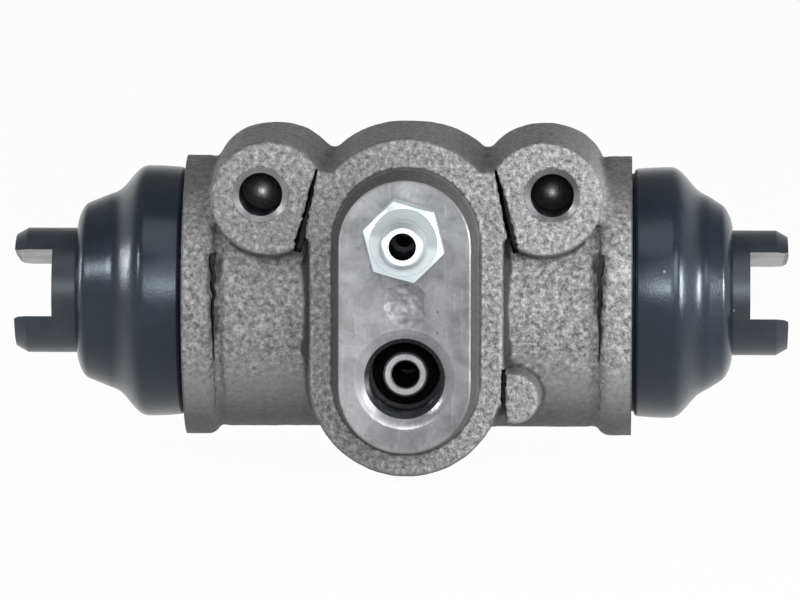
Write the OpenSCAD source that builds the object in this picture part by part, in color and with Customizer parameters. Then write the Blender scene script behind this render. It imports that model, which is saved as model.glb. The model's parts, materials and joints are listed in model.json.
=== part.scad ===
// Wheel cylinder of a drum brake: a cast cylinder with two opposed slotted pistons,
// rubber dust boots, cup seals, a return spring and a bleeder screw. Sizes in millimetres.
// The origin is midway between the two bolt holes, on the plane that meets the backing plate.
// X runs along the bore, Z points up to the bleeder, and the backing plate lies towards -Y.

/* [Casting] */
// Bore that the two pistons run in
bore_d = 25.4; // [22:0.1:28]
// Wall of the barrel around the bore
barrel_wall = 7.7; // [6.5:0.1:9]
// Length between the outer faces of the two collars
casting_length = 69; // [66:0.5:80]
// How far each collar stands out from the barrel
collar_step = 1.3; // [0.6:0.1:2]
// How far the cast barrel and its collars lie below the bore axis
collar_drop = 0.55; // [0:0.05:1]
// Length of each collar's full diameter
collar_width = 3.8; // [3:0.1:5]
// Length of the slope from each collar down to the barrel
collar_slope = 2.3; // [1:0.1:3]
// Wall of the neck that carries each boot
neck_wall = 3.9; // [3.4:0.1:5]
// How far each neck reaches beyond its collar
neck_length = 6; // [5:0.1:7]
// Depth of the relief beside each collar, on the backing plate side
relief_depth = 1; // [0.4:0.1:1.6]
// Bevel round the mouth of the bore
bore_bevel = 0.8; // [0.4:0.1:1.2]
// Bevel of the cast edges
edge_break = 0.5; // [0.2:0.05:0.8]
// Draft of the cast walls, in degrees
cast_draft = 2.2; // [1:0.1:4]

/* [Block and bolt bosses] */
// How far the mounting plane stands in front of the barrel
block_proud = 2.6; // [2:0.1:5]
// End radius of the central block
block_r = 14.9; // [13.5:0.1:15.2]
// Height of each block end's centre from the bore axis
block_half = 10.9; // [9:0.1:13]
// How much further below the bore axis the block's lower end centre lies
block_sag = 0.4; // [0:0.1:1]
// Foot of the block, where its wall spreads out on the barrel
block_foot = 1.1; // [0.5:0.1:1.6]
// How far the casting reaches behind the bore axis before it meets the barrel
back_reach = 12; // [9:0.5:15]
// Distance between the two bolt holes
bolt_spacing = 44.5; // [43.5:0.1:47]
// Height of the bolt holes above the bore axis
bolt_rise = 17.1; // [16:0.1:18.5]
// Tapping size of the bolt thread
bolt_minor_d = 6.65; // [5:0.05:7]
// Depth of the bolt holes to the shoulder of the drill point
bolt_depth = 13; // [9:0.5:16]
// Countersink at the mouth of each bolt hole
bolt_mouth_d = 8.3; // [7.2:0.1:8.8]
// Radius of each bolt boss
boss_r = 8.86; // [8:0.02:9.4]
// How far each boss centre lies inside its hole
boss_in = 1.25; // [0.8:0.05:1.6]
// How far each boss centre lies below its hole
boss_down = 0.6; // [0:0.1:1]
// Depth of the groove between each boss and the block
groove_depth = 11; // [6:0.5:13]
// Width of that groove at its narrow top end
groove_top_w = 0.3; // [0.2:0.05:0.6]
// Width of that groove at its foot
groove_foot_w = 1.3; // [0.8:0.1:1.8]

/* [Locating lug] */
// Radius of the half-round lug beside the block
lug_r = 4.1; // [3.5:0.1:4.6]
// Distance of the lug's centre below the bore axis
lug_drop = 14.1; // [12.5:0.1:15]
// Gap between the lug's flat side and the block
lug_gap = 0.35; // [0.3:0.05:0.8]

/* [Port pad] */
// Height of the machined pad above the mounting plane
pad_height = 9; // [6:0.5:11]
// End radius of the pad
pad_r = 10; // [9.4:0.1:10.8]
// Height of the pad's upper end centre above the bore axis
pad_rise = 10.1; // [9:0.1:11]
// Depth of the pad's lower end centre below the bore axis
pad_drop = 11.5; // [10:0.1:12]
// Draft of the pad's walls, in degrees
pad_draft = 7; // [3:0.5:8]
// Distance of the inlet port below the bore axis
port_drop = 10.1; // [9:0.1:10.6]
// Tapping size of the inlet thread
port_minor_d = 10.92; // [8.5:0.02:11.2]
// Bevelled mouth of the inlet thread
port_mouth_d = 12.3; // [11.6:0.1:13]
// Depth of the inlet port
port_depth = 11.5; // [9:0.5:13]
// Wide shallow countersink round the inlet port
spot_d = 15.8; // [14.5:0.1:17]
// Depth of that countersink at the mouth of the port
spot_depth = 0.45; // [0.2:0.05:0.8]
// Flat top of the flare seat in the port
seat_d = 6.4; // [5.8:0.1:7]
// Height of the flare seat
seat_height = 5; // [2:0.1:6]
// Depth of the run-out groove under the inlet thread
port_relief = 0.35; // [0.25:0.05:0.6]
// Fluid hole from the flare seat to the bore
fluid_d = 4.2; // [3:0.1:4.6]
// Shallow dimple in the face of the pad
dimple_d = 7; // [5:0.1:7]
// Height of the dimple above the bore axis
dimple_rise = 1.1; // [0.6:0.1:1.5]
// Depth of the dimple
dimple_depth = 0.7; // [0.3:0.05:1]

/* [Bleeder screw] */
// Height of the bleeder above the bore axis
bleeder_rise = 11.5; // [10.8:0.1:11.6]
// Shank of the bleeder
shank_d = 9.5; // [8:0.1:10]
// Space between the shank and its hole, on each side
thread_gap = 0.06; // [0.03:0.01:0.08]
// Length of the shank below the face of the pad
shank_length = 12; // [10:0.5:13]
// Hexagon size across the flats
hex_af = 11; // [10:0.5:12]
// Height of the hexagon
hex_height = 6.5; // [5:0.1:8]
// Space between the pad and the hexagon
hex_lift = 1.6; // [1.2:0.1:3]
// How far the hexagon is turned, in degrees
hex_turn = -15.6; // [-30:0.1:30]
// Length of the hose nipple
nipple_length = 6.5; // [5:0.5:12]
// Largest diameter of the hose nipple
nipple_d = 7.2; // [6.2:0.1:7.6]
// Neck of the hose nipple
nipple_neck_d = 5.8; // [5.4:0.1:6]
// Hole in the hose nipple
nipple_hole_d = 4.1; // [3:0.1:4.3]

/* [Pistons] */
// Space between a piston and the bore, on each side
piston_gap = 0.04; // [0.02:0.005:0.08]
// Stem that comes out of the boot
stem_d = 19.4; // [18:0.1:20]
// Length of the piston that is guided by the bore
guide_length = 16; // [13:0.5:16]
// How far the piston's tip stands beyond its collar
tip_reach = 25.85; // [24.8:0.05:27]
// How far both pistons have drifted towards the left
drift = 1.2; // [0:0.05:1.5]
// How far the boot lips, and the stem grooves that hold them, stay behind that drift
lip_lag = 0.5; // [0:0.05:0.8]
// Width of the slot for the web of the brake shoe
slot_w = 10.4; // [8:0.1:11]
// Depth of that slot
slot_depth = 6.35; // [4.5:0.05:7]
// How far the slots are turned about the bore, in degrees
slot_turn = 13.5; // [0:0.5:20]
// Length of the bevel round the piston's tip
tip_bevel_l = 1.8; // [1:0.1:3]
// Depth of that bevel
tip_bevel_r = 1; // [0.6:0.1:2]
// Bevel along the edges of the slot
slot_bevel = 0.3; // [0.1:0.05:0.6]

/* [Dust boots] */
// Length of a boot from its collar to its nose
boot_length = 16.35; // [15.6:0.05:17]
// Height of the boot above its neck
boot_rise = 2.9; // [2.6:0.05:3.2]
// How much the skirt narrows towards its collar
skirt_taper = 0.35; // [0:0.05:0.6]
// Distance from the collar at which the boot starts to fall
fall_start = 6.2; // [5.4:0.1:6.6]
// Length of the fall from there to the waist
fall_length = 5.3; // [4.6:0.1:5.6]
// Height of the boot's waist above the stem
waist_rise = 5.55; // [5:0.05:6]
// Height above the stem at which the nose starts to round
nose_rise = 4; // [3:0.1:4.4]
// Length of the rounding of the nose
nose_round = 1.7; // [1.2:0.1:2.2]
// Wall of the boot
boot_wall = 1.5; // [1:0.1:1.8]
// Space between the boot and what it is pushed on
boot_gap = 0.1; // [0.05:0.05:0.2]
// Space between the boot and the face of its collar
crease = 0.4; // [0.2:0.1:0.8]
// Depth of the grooves that hold the boot's rims
rim_groove = 1; // [0.6:0.1:1.3]
// Length of those grooves
rim_length = 2.2; // [1.6:0.1:2.6]

/* [Seals and spring] */
// Length of a cup seal
cup_length = 6; // [5:0.1:7]
// Thickness of the bottom of a cup seal
cup_floor = 2.6; // [2:0.1:3]
// Thickness of a cup seal's lip
cup_lip = 1.6; // [1.2:0.1:2]
// Sheet that the cup expanders are pressed from
expander_sheet = 0.8; // [0.5:0.1:1]
// Wire of the return spring
wire_d = 1.2; // [0.8:0.1:1.5]
// Mean diameter of the return spring
spring_d = 9; // [8:0.1:10]
// Turns of the return spring
spring_turns = 7; // [5:1:9]
// Space kept between the inner pieces
inner_gap = 0.1; // [0.05:0.05:0.2]

/* [Hidden] */
$fn = 64;
eps = 0.01;
past = 1;
drill_point = 118;
drill_slope = tan(drill_point / 2);

bore_r = bore_d / 2;
barrel_r = bore_r + barrel_wall;
collar_r = barrel_r + collar_step;
neck_r = bore_r + neck_wall;
collar_x = casting_length / 2;
neck_x = collar_x + neck_length;
mount_out = barrel_r + block_proud;
pad_out = mount_out + pad_height;
relief_x = collar_x - collar_width - collar_slope;

hole_x = bolt_spacing / 2;
boss_x = hole_x - boss_in;
boss_up = bolt_rise - boss_down;
block_top = block_half + block_r;
block_low = block_half + block_sag;
web_up = (block_top + boss_up) / 2 + edge_break;
web_low = boss_up - boss_r / 7;
web_end_x = boss_x - boss_r / 6;
lug_flat = block_r + lug_gap;
lug_x = lug_flat + lug_r * 0.27;
foot_out = barrel_r - 2 * block_foot;
foot_half = sqrt(barrel_r * barrel_r - foot_out * foot_out) - block_foot;

piston_r = bore_r - piston_gap;
stem_r = stem_d / 2;
tip_x = collar_x + tip_reach;
slot_floor_x = tip_x - slot_depth;
guide_end_x = neck_x - bore_bevel - guide_length * 0.45;
head_x = guide_end_x - guide_length;
nose_x = collar_x + boot_length;
lip_x = nose_x - rim_length - boot_gap;
bead_x = collar_x + (neck_length - rim_length) / 2;
boot_top_r = neck_r + boot_rise;
waist_r = stem_r + waist_rise;
nose_r = stem_r + nose_rise;

cup_r = bore_r - piston_gap;
cup_x = head_x - cup_length;
cup_well_x = head_x - cup_floor;
cup_well_r = cup_r - cup_lip;
expander_x = cup_well_x - inner_gap - expander_sheet;
spring_end_x = expander_x - inner_gap;
spring_r = spring_d / 2;
dish_r = spring_r + wire_d / 2 + inner_gap * 3;

shank_r = shank_d / 2;
bleeder_hole_r = shank_r + thread_gap;
bleeder_seat_out = pad_out - shank_length;
passage_r = fluid_d / 2 * 0.75;
hex_out = pad_out + hex_lift;
hex_top_out = hex_out + hex_height;
nipple_out = hex_top_out + nipple_length;
hex_corner_r = hex_af / 2 / cos(30);

iron = [0.55, 0.55, 0.55];
blackened = [0.2, 0.22, 0.24];
rubber = [0.1, 0.1, 0.11];
zinc = [0.78, 0.8, 0.82];
spring_steel = [0.45, 0.46, 0.48];

// Everything is drawn from the middle of the bore, with x along it, y up and z out
// towards the backing plate, and is then put in its place in the frame.
module in_frame() {
    translate([0, mount_out, -bolt_rise])
    rotate([90, 0, 0])
        children();
}

// Puts something drawn for the right end of the bore at one end or the other.
module at_end(side) {
    if (side < 0)
        mirror([1, 0, 0]) children();
    else
        children();
}

// Turns a profile of radius and distance along the bore round the bore axis.
module turned(profile) {
    rotate([0, 90, 0])
    rotate_extrude()
        polygon(profile);
}

// A round cast boss that narrows towards its face, with a bevelled edge.
module cast_round(face_r, face_out) {
    straight = face_out - edge_break;
    edge_r = face_r + edge_break * tan(cast_draft);
    cylinder(r1 = face_r + face_out * tan(cast_draft), r2 = edge_r, h = straight);
    translate([0, 0, straight - eps])
        cylinder(r1 = edge_r, r2 = face_r - edge_break * 0.6, h = edge_break + eps);
}

// A long block with round ends, from one height to another and from one radius to another.
module long_cone(low_r, high_r, low, high, up, down) {
    for (end_y = [up, -down])
        translate([0, end_y, low])
            cylinder(r1 = low_r, r2 = high_r, h = high - low);
    translate([0, up, 0])
    rotate([90, 0, 0])
    linear_extrude(up + down)
        polygon([[-low_r, low], [low_r, low], [high_r, high], [-high_r, high]]);
}

// The central block in front of the bore axis, with its foot on the barrel.
module block_front() {
    top = mount_out - edge_break;
    root_r = block_r + mount_out * tan(cast_draft);
    edge_r = block_r + edge_break * tan(cast_draft);
    long_cone(root_r, edge_r, 0, top, block_half, block_low);
    long_cone(edge_r, block_r - edge_break * 0.6, top - eps, mount_out, block_half, block_low);
    rotate([90, 0, 0])
    linear_extrude(2 * foot_half, center = true)
        polygon([[-root_r - block_foot, foot_out], [root_r + block_foot, foot_out],
                 [block_r, barrel_r + block_foot], [-block_r, barrel_r + block_foot]]);
}

// The outline of block, bosses and webs at the bore axis, which the back of the casting follows.
module back_outline() {
    grow = mount_out * tan(cast_draft);
    for (end_y = [block_half, -block_low])
        translate([0, end_y]) circle(r = block_r + grow);
    translate([-block_r - grow, -block_low]) square([2 * (block_r + grow), block_low + block_half]);
    for (side = [-1, 1])
        translate([side * boss_x, boss_up]) circle(r = boss_r + grow);
    translate([-web_end_x, 0]) square([2 * web_end_x, web_up]);
}

// The back of the casting: it rounds off behind the bore axis until it meets the barrel.
module back_rounding() {
    grow = mount_out * tan(cast_draft);
    top = block_top + grow;
    centre_out = back_reach / 3;
    round_r = sqrt(top * top + centre_out * centre_out);
    intersection() {
        translate([0, 0, -back_reach])
        linear_extrude(back_reach + eps)
            back_outline();
        translate([0, 0, centre_out])
        rotate([0, 90, 0])
            cylinder(r = round_r, h = casting_length, center = true, $fn = 96);
    }
}

// A bolt boss with the web that joins it to the block.
module bolt_boss(side) {
    translate([side * boss_x, boss_up, 0])
        cast_round(boss_r, mount_out);
    at_end(side)
        rotate([90, 0, 90])
        linear_extrude(web_end_x)
            polygon([[web_low, 0], [web_up, 0],
                     [web_up - mount_out * tan(cast_draft), mount_out - edge_break],
                     [web_up - mount_out * tan(cast_draft) - edge_break, mount_out],
                     [web_low, mount_out]]);
}

// The leaning groove that parts a bolt boss from the block, as a wedge seen from the plate.
module boss_groove(side) {
    foot_up = boss_up - boss_r - past;
    top_up = web_up + past;
    foot_x = block_r + groove_foot_w * 0.45;
    top_x = block_r - groove_foot_w * 1.7;
    at_end(side)
        translate([0, 0, mount_out - groove_depth])
        linear_extrude(groove_depth + past)
            polygon([[top_x, top_up], [top_x + groove_top_w, top_up],
                     [foot_x + groove_foot_w, foot_up], [foot_x, foot_up]]);
}

// The half-round lug beside the block, cut flat on the side towards it.
module locating_lug() {
    root_out = bore_r / 3;
    intersection() {
        translate([lug_x, -lug_drop, root_out])
            cast_round(lug_r, mount_out - root_out);
        translate([lug_flat, -lug_drop - 2 * lug_r, 0])
            cube([3 * lug_r, 4 * lug_r, mount_out + past]);
    }
}

// Barrel and collars as cast, which lie a little below the bore axis.
module barrel() {
    half = [[0, barrel_r], [relief_x, barrel_r], [collar_x - collar_width, collar_r],
            [collar_x - edge_break, collar_r], [collar_x, collar_r - edge_break], [collar_x, 0], [0, 0]];
    translate([0, -collar_drop, 0])
    difference() {
        for (side = [-1, 1])
            at_end(side)
                turned([for (p = half) [p[1], p[0]]]);
        for (side = [-1, 1]) collar_relief(side);
    }
}

// The turned necks, round the bore, with the grooves that hold the boots.
module necks() {
    root_x = collar_x - collar_width;
    for (side = [-1, 1])
        at_end(side)
            turned([[0, root_x], [neck_r, root_x], [neck_r, bead_x], [neck_r - rim_groove, bead_x],
                    [neck_r - rim_groove, bead_x + rim_length], [neck_r, bead_x + rim_length],
                    [neck_r, neck_x - edge_break], [neck_r - edge_break, neck_x], [0, neck_x]]);
}

// A relief cut beside each collar that is deep towards the plate and fades out round the barrel.
module collar_relief(side) {
    at_end(side)
        translate([relief_x - collar_slope * 0.1, 0, 0])
        rotate([0, 90, 0])
        linear_extrude(collar_slope * 0.65)
            difference() {
                circle(r = collar_r + past);
                translate([relief_depth, 0]) circle(r = barrel_r);
            }
}

// The machined pad that comes through the backing plate.
module pad() {
    grow = pad_height * tan(pad_draft);
    top = pad_out - edge_break;
    edge_r = pad_r + edge_break * tan(pad_draft);
    long_cone(pad_r + grow, edge_r, mount_out - eps, top, pad_rise, pad_drop);
    long_cone(edge_r, pad_r - edge_break * 0.3, top - eps, pad_out, pad_rise, pad_drop);
}

// A tapped bolt hole: countersunk mouth, plain wall and drill point.
module bolt_hole() {
    r = bolt_minor_d / 2;
    mouth = (bolt_mouth_d - bolt_minor_d) / 2 / drill_slope;
    translate([0, 0, -mouth])
        cylinder(r1 = r, r2 = r + 2 * mouth * drill_slope, h = 2 * mouth);
    translate([0, 0, -bolt_depth]) cylinder(r = r, h = bolt_depth);
    translate([0, 0, -bolt_depth - r / drill_slope])
        cylinder(r1 = 0, r2 = r, h = r / drill_slope + eps);
}

// The inlet port: wide countersink, bevelled thread with its run-out, and a flare seat in its floor.
module inlet_port() {
    r = port_minor_d / 2;
    bevel = (port_mouth_d - port_minor_d) / 2;
    spread = (spot_d - port_mouth_d) / 2;
    mouth_r = port_mouth_d / 2;
    thread_foot = port_depth - seat_height - port_relief;
    seat_spread = seat_height * 0.4;
    translate([0, 0, -spot_depth])
        cylinder(r1 = mouth_r, r2 = mouth_r + spread * 2, h = spot_depth * 2);
    translate([0, 0, -spot_depth - bevel]) cylinder(r1 = r, r2 = mouth_r, h = bevel + eps);
    difference() {
        union() {
            translate([0, 0, -thread_foot]) cylinder(r = r, h = thread_foot);
            translate([0, 0, -port_depth])
                cylinder(r = r + port_relief, h = port_depth - thread_foot + eps);
        }
        translate([0, 0, -port_depth - eps])
            cylinder(r1 = seat_d / 2 + seat_spread, r2 = seat_d / 2, h = seat_height);
    }
    translate([0, 0, -pad_out]) cylinder(r = fluid_d / 2, h = pad_out - port_depth + seat_height + past);
}

// The hole for the bleeder: thread, cone seat and a passage to the top of the bore.
module bleeder_hole() {
    seat_l = bleeder_hole_r - passage_r;
    bevel = edge_break;
    translate([0, 0, bleeder_seat_out]) cylinder(r = bleeder_hole_r, h = shank_length + past);
    translate([0, 0, bleeder_seat_out - seat_l])
        cylinder(r1 = passage_r, r2 = bleeder_hole_r, h = seat_l + eps);
    cylinder(r = passage_r, h = bleeder_seat_out);
    translate([0, 0, pad_out - bevel])
        cylinder(r1 = bleeder_hole_r, r2 = bleeder_hole_r + bevel * 2, h = bevel * 2);
}

// The shallow dimple between bleeder and port, cut by a ball.
module dimple() {
    r = dimple_d / 2;
    ball_r = (r * r + dimple_depth * dimple_depth) / (2 * dimple_depth);
    translate([0, dimple_rise, pad_out + ball_r - dimple_depth])
        sphere(r = ball_r);
}

module cylinder_body() {
    color(iron) in_frame()
    difference() {
        union() {
            difference() {
                union() {
                    block_front();
                    back_rounding();
                    for (side = [-1, 1]) bolt_boss(side);
                    locating_lug();
                }
                for (side = [-1, 1]) boss_groove(side);
            }
            barrel();
            necks();
            pad();
        }
        turned([[0, -neck_x - past], [bore_r, -neck_x - past], [bore_r, neck_x + past],
                [0, neck_x + past]]);
        for (side = [-1, 1])
            at_end(side)
                turned([[0, neck_x - bore_bevel], [bore_r, neck_x - bore_bevel],
                        [bore_r + bore_bevel * 2, neck_x + bore_bevel], [0, neck_x + bore_bevel]]);
        for (side = [-1, 1])
            translate([side * hole_x, bolt_rise, mount_out]) bolt_hole();
        translate([0, -port_drop, pad_out]) inlet_port();
        translate([0, bleeder_rise, 0]) bleeder_hole();
        dimple();
    }
}

// A piston: the guided part in the bore, a stem with a groove for the boot, and a slotted tip.
module piston(side) {
    cone = tip_bevel_l * 0.25;
    flat_r = stem_r - tip_bevel_r;
    groove_in = lip_x + side * lip_lag;
    groove_out = nose_x - boot_gap + side * lip_lag;
    profile = [[0, head_x], [piston_r - edge_break, head_x], [piston_r, head_x + edge_break],
               [piston_r, guide_end_x - edge_break], [piston_r - edge_break, guide_end_x],
               [stem_r, guide_end_x], [stem_r, groove_in], [stem_r - rim_groove, groove_in],
               [stem_r - rim_groove, groove_out], [stem_r, groove_out],
               [stem_r, tip_x - tip_bevel_l - cone], [flat_r, tip_x - cone], [0, tip_x]];
    bevel_x = tip_x - cone - slot_bevel * 2;
    bevel_w = slot_w / 2 + slot_bevel;
    color(blackened) in_frame()
    translate([-drift, 0, 0])
    at_end(side)
    difference() {
        turned(profile);
        rotate([-slot_turn, 0, 0])
        translate([slot_floor_x, -slot_w / 2, -stem_r - past])
            cube([slot_depth + past, slot_w, stem_d + 2 * past]);
        rotate([-slot_turn, 0, 0])
        translate([0, 0, -stem_r - past])
        linear_extrude(stem_d + 2 * past)
            polygon([[bevel_x, -slot_w / 2], [bevel_x, slot_w / 2],
                     [tip_x + past, bevel_w + past / 2], [tip_x + past, -bevel_w - past / 2]]);
    }
}
module piston_left() piston(-1);
module piston_right() piston(1);

// A cup seal on the inner end of a piston, with its lip towards the fluid.
module cup_seal(side) {
    flare = cup_lip * 0.45;
    color(rubber) in_frame()
    translate([-drift, 0, 0])
    at_end(side)
        turned([[0, cup_well_x], [cup_well_r - flare * 2, cup_well_x], [cup_well_r + flare, cup_x],
                [cup_r - flare * 0.2, cup_x], [cup_r, cup_x + flare], [cup_r - flare, cup_well_x],
                [cup_r - flare, head_x], [0, head_x]]);
}
module cup_seal_left() cup_seal(-1);
module cup_seal_right() cup_seal(1);

// A pressed dish that spreads the lip of a cup seal and holds the end of the spring.
module cup_expander(side) {
    depth = (cup_length - cup_floor) * 0.75;
    rim_r = cup_well_r - cup_lip * 0.5;
    foot_r = rim_r - depth * 0.55;
    floor_x = expander_x + expander_sheet;
    color(zinc) in_frame()
    translate([-drift, 0, 0])
    at_end(side)
        turned([[0, expander_x], [foot_r - expander_sheet * 0.6, expander_x],
                [rim_r - expander_sheet, floor_x - depth], [rim_r, floor_x - depth],
                [foot_r, floor_x], [0, floor_x]]);
}
module cup_expander_left() cup_expander(-1);
module cup_expander_right() cup_expander(1);

// The coil spring between the two expanders: a round wire carried along a helix.
module return_spring() {
    steps = 20;
    sides = 8;
    wire_r = wire_d / 2;
    count = spring_turns * steps;
    travel = 2 * (spring_end_x - wire_r);
    points = [for (i = [0 : count], k = [0 : sides - 1])
        let (a = 360 * i / steps, b = 360 * k / sides, r = spring_r + wire_r * cos(b))
        [travel * (i / count - 0.5) + wire_r * sin(b), r * cos(a), r * sin(a)]];
    walls = [for (i = [0 : count - 1], k = [0 : sides - 1])
        let (n = (k + 1) % sides)
        [i * sides + k, i * sides + n, (i + 1) * sides + n, (i + 1) * sides + k]];
    first_end = [for (k = [sides - 1 : -1 : 0]) k];
    last_end = [for (k = [0 : sides - 1]) count * sides + k];
    color(spring_steel) in_frame()
    translate([-drift, 0, 0])
        polyhedron(points = points, faces = concat(walls, [first_end, last_end]));
}

// Outer radius of a boot at a distance from its collar, for a boot of a given length:
// a skirt that swells, a fall that eases into the waist, an even slope and a rounded nose.
function boot_skirt(u) = boot_top_r - skirt_taper * pow(max(0, 1 - u / fall_start), 2);
function boot_body(u, length) =
    let (waist_u = fall_start + fall_length,
         slope = (waist_r - nose_r) / (length - nose_round - waist_u),
         s = min(1, max(0, u - fall_start) / fall_length),
         drop = s * s * (3 - 2 * s),
         ease = fall_length * slope * s * s * (1 - s))
    u > waist_u ? waist_r - slope * (u - waist_u)
                : boot_skirt(u) - (boot_top_r - waist_r) * drop + ease;
function boot_nose(u, length) =
    let (v = (u - length + nose_round) / nose_round)
    v <= 0 ? 1 : sqrt(max(0, 1 - v * v));
function boot_r(u, length) =
    let (root_r = stem_r + boot_gap)
    root_r + (boot_body(u, length) - root_r) * boot_nose(u, length);

// A dust boot: a bead in the neck's groove, a full skirt, a waist and a lip in the stem's groove.
module dust_boot(side) {
    steps = 40;
    length = boot_length - side * (drift - lip_lag);
    lip_r = stem_r - rim_groove + boot_gap;
    bead_r = neck_r - rim_groove + boot_gap;
    bead_in = bead_x - collar_x + boot_gap;
    bead_out = bead_x - collar_x + rim_length - boot_gap;
    skin_end = length - rim_length - boot_gap;
    lip_start = skin_end + boot_gap * 2;
    lip_end = length - boot_gap * 3;
    start = neck_length + boot_gap * 3;
    edge_u = crease + edge_break;
    outer = [for (i = [0 : steps]) let (u = edge_u + (length - edge_u) * i / steps)
        [boot_r(u, length), u]];
    inner = [for (i = [steps / 2 : -1 : 0]) let (u = start + (skin_end - start) * i / (steps / 2))
        [max(boot_r(u, length + boot_wall * 0.2) - boot_wall, stem_r + boot_gap), u]];
    color(rubber) in_frame()
    at_end(side)
    translate([collar_x, 0, 0])
        turned(concat([[neck_r + boot_gap, crease], [boot_skirt(crease) - edge_break, crease]], outer,
                      [[stem_r + boot_gap, lip_end], [lip_r, lip_end], [lip_r, lip_start],
                       [stem_r + boot_gap, lip_start], [stem_r + boot_gap, skin_end]],
                      inner,
                      [[neck_r + boot_gap, start], [neck_r + boot_gap, bead_out], [bead_r, bead_out],
                       [bead_r, bead_in], [neck_r + boot_gap, bead_in]]));
}
module dust_boot_left() dust_boot(-1);
module dust_boot_right() dust_boot(1);

// The bleeder: shank with cone tip, hexagon, hose nipple, and its drilled fluid hole.
module bleeder_screw() {
    tip_l = (shank_r - passage_r) * 0.8;
    tip_r = shank_r - tip_l - inner_gap;
    neck_r2 = nipple_neck_d / 2;
    barb_r = nipple_d / 2;
    hole_r = nipple_hole_d / 2;
    barb = nipple_length * 0.3;
    seat_out = bleeder_seat_out + inner_gap * 2;
    wide_r = hex_corner_r + past;
    foot_r = hex_af / 2 * 0.97;
    crown_r = hex_af / 2 * 0.92;
    color(zinc) in_frame()
    translate([0, bleeder_rise, 0])
    difference() {
        union() {
            rotate_extrude()
                polygon([[0, seat_out - tip_l], [tip_r, seat_out - tip_l], [shank_r, seat_out],
                         [shank_r, hex_out - hex_lift * 0.4], [shank_r - edge_break, hex_out],
                         [0, hex_out]]);
            intersection() {
                rotate([0, 0, hex_turn])
                translate([0, 0, hex_out - past])
                linear_extrude(hex_height + 2 * past)
                    polygon([for (k = [0 : 5]) hex_corner_r * [cos(60 * k), sin(60 * k)]]);
                rotate_extrude()
                    polygon([[0, hex_out - eps], [foot_r, hex_out - eps],
                             [wide_r, hex_out + (wide_r - foot_r) * tan(30)],
                             [wide_r, hex_top_out - (wide_r - crown_r) * tan(30)],
                             [crown_r, hex_top_out], [0, hex_top_out]]);
            }
            rotate_extrude()
                polygon([[0, hex_top_out - eps], [neck_r2 + edge_break, hex_top_out - eps],
                         [neck_r2, hex_top_out + edge_break], [neck_r2, nipple_out - 2 * barb],
                         [barb_r, nipple_out - 1.7 * barb], [barb_r, nipple_out - barb],
                         [neck_r2 + edge_break * 0.4, nipple_out - edge_break],
                         [neck_r2 - edge_break * 0.2, nipple_out], [0, nipple_out]]);
        }
        translate([0, 0, bleeder_seat_out]) cylinder(r = hole_r * 0.62, h = nipple_out - bleeder_seat_out);
        translate([0, 0, hex_out]) cylinder(r = hole_r, h = nipple_out - hex_out + past);
        translate([0, 0, bleeder_seat_out + hole_r])
        rotate([0, 90, 0])
            cylinder(r = hole_r * 0.5, h = shank_d + 2 * past, center = true);
    }
}

cylinder_body();
piston_left();
piston_right();
cup_seal_left();
cup_seal_right();
cup_expander_left();
cup_expander_right();
return_spring();
dust_boot_left();
dust_boot_right();
bleeder_screw();
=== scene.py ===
import json
import math

import bmesh
import bpy
import numpy as np
from bpy.props import FloatProperty, FloatVectorProperty, IntProperty, PointerProperty
from mathutils import Matrix, Vector


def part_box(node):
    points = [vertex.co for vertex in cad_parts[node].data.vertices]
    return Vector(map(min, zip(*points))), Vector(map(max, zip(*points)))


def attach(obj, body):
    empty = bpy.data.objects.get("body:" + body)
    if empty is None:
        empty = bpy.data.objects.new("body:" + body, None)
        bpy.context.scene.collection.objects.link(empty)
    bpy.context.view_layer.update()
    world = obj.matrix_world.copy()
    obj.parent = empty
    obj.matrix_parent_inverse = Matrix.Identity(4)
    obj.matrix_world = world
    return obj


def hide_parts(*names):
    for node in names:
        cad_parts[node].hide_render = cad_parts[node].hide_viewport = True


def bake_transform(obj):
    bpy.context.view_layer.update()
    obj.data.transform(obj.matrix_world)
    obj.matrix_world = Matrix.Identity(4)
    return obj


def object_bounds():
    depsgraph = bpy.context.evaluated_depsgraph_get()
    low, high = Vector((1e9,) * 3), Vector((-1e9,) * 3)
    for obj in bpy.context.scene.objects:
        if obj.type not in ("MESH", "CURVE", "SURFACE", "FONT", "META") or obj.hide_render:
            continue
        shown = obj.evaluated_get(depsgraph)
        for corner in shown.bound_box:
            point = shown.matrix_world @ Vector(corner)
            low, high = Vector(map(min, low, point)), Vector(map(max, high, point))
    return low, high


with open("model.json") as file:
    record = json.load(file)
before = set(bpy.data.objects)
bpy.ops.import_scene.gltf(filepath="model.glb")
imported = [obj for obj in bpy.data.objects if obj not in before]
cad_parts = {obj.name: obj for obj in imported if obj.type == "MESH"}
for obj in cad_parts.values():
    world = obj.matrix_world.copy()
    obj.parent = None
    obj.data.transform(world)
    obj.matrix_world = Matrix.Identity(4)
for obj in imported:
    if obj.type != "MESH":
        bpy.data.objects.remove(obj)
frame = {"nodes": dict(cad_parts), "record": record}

bl_info = {
    "name": "Wheel cylinder",
    "version": (1, 0, 0),
    "blender": (4, 5, 0),
    "location": "3D View > Sidebar > Wheel cylinder",
    "description": "Casts, machines and finishes a drum brake wheel cylinder round its CAD frame",
    "category": "Object",
}

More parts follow.
